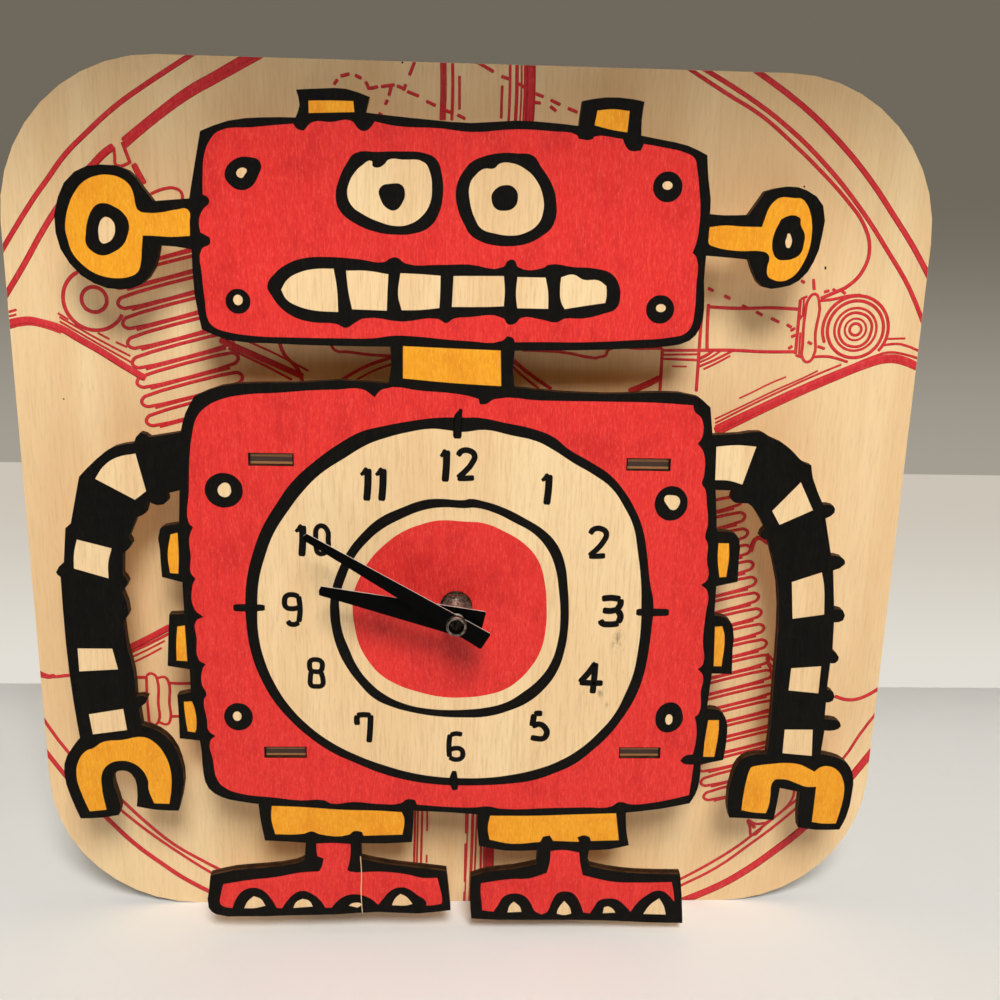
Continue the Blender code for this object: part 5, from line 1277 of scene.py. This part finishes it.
# A hairline split runs down through the left ankle and foot.
SPLIT = [(-35.9, -114), (-35.6, -121), (-35.8, -128), (-35.4, -136.6)]
SPLIT_WIDTH = 0.3
CRACK = brushed([(SPLIT, SPLIT_WIDTH)], PEN_THICKNESS)
piece_from("ankle_split", [(CRACK, PEN_PLACE)], BARE)

# ---------------------------------------------------------------- finishes of the solid pieces

def middle_height(node):
    low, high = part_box(node)
    return (low.z + high.z) / 2 / MM


# Material name, clean colour, dull colour, roughness and how fine its grime is.
METALS = {
    "threaded_bushing": ("bushing_metal", (200, 184, 170), (74, 62, 53), 0.38, 1200),
    "flat_washer": ("washer_metal", (112, 98, 84), (34, 28, 23), 0.40, 900),
    "hex_nut": ("nut_metal", (178, 162, 148), (48, 40, 34), 0.40, 1200),
    # The arbor's steel is painted near black: painted shade, so its tip reads as the shaded hollow of the
    # hand nut.
    "minute_arbor": ("arbor_steel_painted_shade", (46, 40, 34), (14, 12, 10), 0.30, 900),
    "quartz_crystal": ("crystal_can", (208, 206, 200), (170, 166, 158), 0.22, 420),
    "stator": ("stator_steel", (168, 164, 156), (120, 112, 102), 0.34, 420),
    "positive_contact": ("contact_spring", (214, 212, 206), (176, 172, 162), 0.24, 420),
}
# Material name, its two shades, roughness and how fine its skin is.
PLASTICS = {
    "movement_case": ("case_plastic", (26, 26, 27), (34, 34, 35), 0.45, 900),
    "rubber_washer": ("washer_rubber", (22, 22, 22), (36, 35, 34), 0.75, 900),
    "setting_knob": ("knob_acetal", (214, 208, 190), (200, 192, 172), 0.35, 900),
    "coil_bobbin": ("bobbin_nylon", (226, 222, 210), (210, 204, 188), 0.40, 900),
    "circuit_board": ("board_lacquer", (28, 92, 52), (22, 74, 44), 0.30, 300),
    "clock_chip": ("chip_resin", (20, 20, 21), (30, 30, 31), 0.30, 900),
}
WHEEL_SHADES = (colour(222, 218, 206), colour(206, 200, 184))
# The hand nut's clean and dull metal, then the near-black painted shade of its hollow socket out to
# SOCKET_RADIUS.
NUT_METAL_AND_SOCKET_SHADE = (colour(150, 138, 126), colour(66, 58, 51), colour(20, 16, 13))
SOCKET_RADIUS = 2.4
FINISHES = {
    "robot_front": ply_finish("printed_ply", FACE, INKS["black"]),
    "back_panel": ply_finish("panel_ply", PANEL_FACE),
    "upper_spacer": spacer_finish("upper_spacer_ply", middle_height("upper_spacer")),
    "lower_spacer": spacer_finish("lower_spacer_ply", middle_height("lower_spacer")),
    "minute_hand_nut": socket_finish("hand_nut_metal", *NUT_METAL_AND_SOCKET_SHADE, SOCKET_RADIUS),
    "hour_hand": hand_finish("hand_paint"),
    "hour_wheel": plastic_finish("wheel_acetal", *WHEEL_SHADES, 0.32, 900, Subsurface_Weight=0.08),
    "coil_winding": winding_finish("winding_copper"),
    "battery": battery_finish("battery_jacket", *(corner.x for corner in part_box("battery"))),
}
for node, (name, clean, dull, rough, scale) in METALS.items():
    FINISHES[node] = metal_finish(name, colour(*clean), colour(*dull), rough, scale)
for node, (name, shade, light, rough, scale) in PLASTICS.items():
    FINISHES[node] = plastic_finish(name, colour(*shade), colour(*light), rough, scale)
SAME_FINISH = {
    "movement_cover": "movement_case",
    "minute_hand": "hour_hand",
    "minute_wheel": "hour_wheel",
    "centre_wheel": "hour_wheel",
    "third_wheel": "hour_wheel",
    "fourth_wheel": "hour_wheel",
    "fifth_wheel": "hour_wheel",
    "rotor": "stator",
    "coil_core": "stator",
    "negative_contact": "positive_contact",
}
for name, piece in nodes.items():
    dress(piece, FINISHES[SAME_FINISH.get(name, name)])

# ---------------------------------------------------------------- floor, light and camera

# In metres: the clock's lowest edge stands on the shelf, and y runs away from the viewer.
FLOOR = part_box("back_panel")[0].z
STAGE_REACH = 3.0
SHELF_DEPTH = 0.191
SHELF_ROUND = 0.004
SHELF_DROP = -0.3
WALL_PLACE = 0.60
LEDGE_DEPTH = 0.075
LEDGE_BLEND = 0.0005
SHADE_PLACE = -0.02
SHADE_HEIGHT = 0.12
SHADE_HALF_WIDTH = 1.6
SHADE_REACH = 0.10


def swept(name, run, material):
    """A stage piece: a line of (y, height above the shelf) points carried from side to side."""
    work = bmesh.new()
    last = None
    for y, z in run:
        pair = [work.verts.new((x, y, FLOOR + z)) for x in (-STAGE_REACH, STAGE_REACH)]
        if last:
            work.faces.new((last[0], last[1], pair[1], pair[0]))
        last = pair
    as_object(name, work, material)


def staging():
    """The shelf under the clock, and well behind it a low white wall whose ledge carries a grey wall. The
    walls glow with their own light, their colour painted darker upward as painted shade.
    """
    # Painted light: the shelf glows faintly, which brightens it and sends a little light up onto the clock.
    shelf_glow = colour(255, 252, 244)
    paint = Finish("shelf_paint", Roughness=0.7, Emission_Color=shelf_glow, Emission_Strength=0.03)
    mottle = paint.noise((7, 7, 7), detail=4, rough=0.6)
    paint.paint(paint.mix(paint.ramp(mottle, 0.3, 0.7), colour(250, 251, 250), colour(246, 247, 245)))
    edge = [(SHELF_DEPTH - SHELF_ROUND, 0), (SHELF_DEPTH, -SHELF_ROUND), (SHELF_DEPTH, SHELF_DROP)]
    swept("shelf", [(-STAGE_REACH, 0), *edge], paint.material)

    # Painted light and shade: the walls glow though they are no lamp, each in a colour that darkens upward,
    # the grey wall darkest at its top.
    glow = Finish("wall_glow", Base_Color=(0, 0, 0, 1), Specular_IOR_Level=0, Emission_Strength=1.0)
    height = glow.along("Z")
    low = glow.mix(glow.ramp(height, FLOOR - 0.18, FLOOR), colour(226, 222, 213), colour(204, 196, 183))
    high = glow.mix(glow.ramp(height, FLOOR, FLOOR + 0.27), colour(164, 158, 146), colour(111, 104, 92))
    shown = glow.mix(glow.ramp(height, FLOOR + LEDGE_BLEND, FLOOR + 3 * LEDGE_BLEND), low, high)
    glow.drive("Emission Color", shown)
    back = WALL_PLACE + LEDGE_DEPTH
    lower = [(SHELF_DEPTH, SHELF_DROP), (WALL_PLACE, SHELF_DROP), (WALL_PLACE, 0)]
    swept("wall", [*lower, (back, 0), (back, STAGE_REACH)], glow.material)



def lamp(name, spot, aim, power, size, tint):
    """A round soft light at one spot, aimed at another."""
    light = bpy.data.lights.new(name, "AREA")
    light.shape = "DISK"
    light.size = size
    light.energy = power
    light.color = tint
    holder = bpy.data.objects.new(name, light)
    holder.location = spot
    holder.rotation_euler = (Vector(aim) - Vector(spot)).to_track_quat("-Z", "Y").to_euler()
    bpy.context.scene.collection.objects.link(holder)


def shade():
    """A board above the clock, out of sight, that keeps the light off the top of the panel."""
    work = bmesh.new()
    size = Matrix.Diagonal((SHADE_HALF_WIDTH, SHADE_REACH, 1, 1))
    place = Matrix.Translation((0, SHADE_PLACE, SHADE_HEIGHT)) @ size
    bmesh.ops.create_grid(work, x_segments=1, y_segments=1, size=1, matrix=place)
    board = as_object("shade", work, Finish("shade_paint", Roughness=0.9).material)
    board.visible_camera = False
    board.visible_glossy = False


staging()
shade()
lamp(
    "key", spot=(0.10, -1.18, 1.105), aim=(0, -0.02, -0.12), power=25.5, size=0.66,
    tint=(1.0, 0.968, 0.93),
)
lamp("fill", spot=(-0.9, -1.3, 0.3), aim=(0, 0, -0.1), power=0.25, size=1.2, tint=(1.0, 0.97, 0.93))

WORLD_TINT = (1.0, 0.98, 0.95, 1)
WORLD_STRENGTH = 0.008
world = bpy.data.worlds.new("studio")
world.use_nodes = True
background = world.node_tree.nodes["Background"]
background.inputs["Color"].default_value = WORLD_TINT
background.inputs["Strength"].default_value = WORLD_STRENGTH
bpy.context.scene.world = world
bpy.context.scene.view_settings.view_transform = "Standard"

CAMERA_LENS = 40.95
CAMERA_PLACE = (-0.00768, -0.3698, 0.00326)
CAMERA_TURN = (74.916, -1.366, -2.398)
lens = bpy.data.cameras.new("camera")
lens.sensor_width = 36
lens.lens = CAMERA_LENS
lens.clip_start = 0.01
camera = bpy.data.objects.new("camera", lens)
camera.location = CAMERA_PLACE
camera.rotation_euler = [math.radians(angle) for angle in CAMERA_TURN]
bpy.context.scene.collection.objects.link(camera)
bpy.context.scene.camera = camera
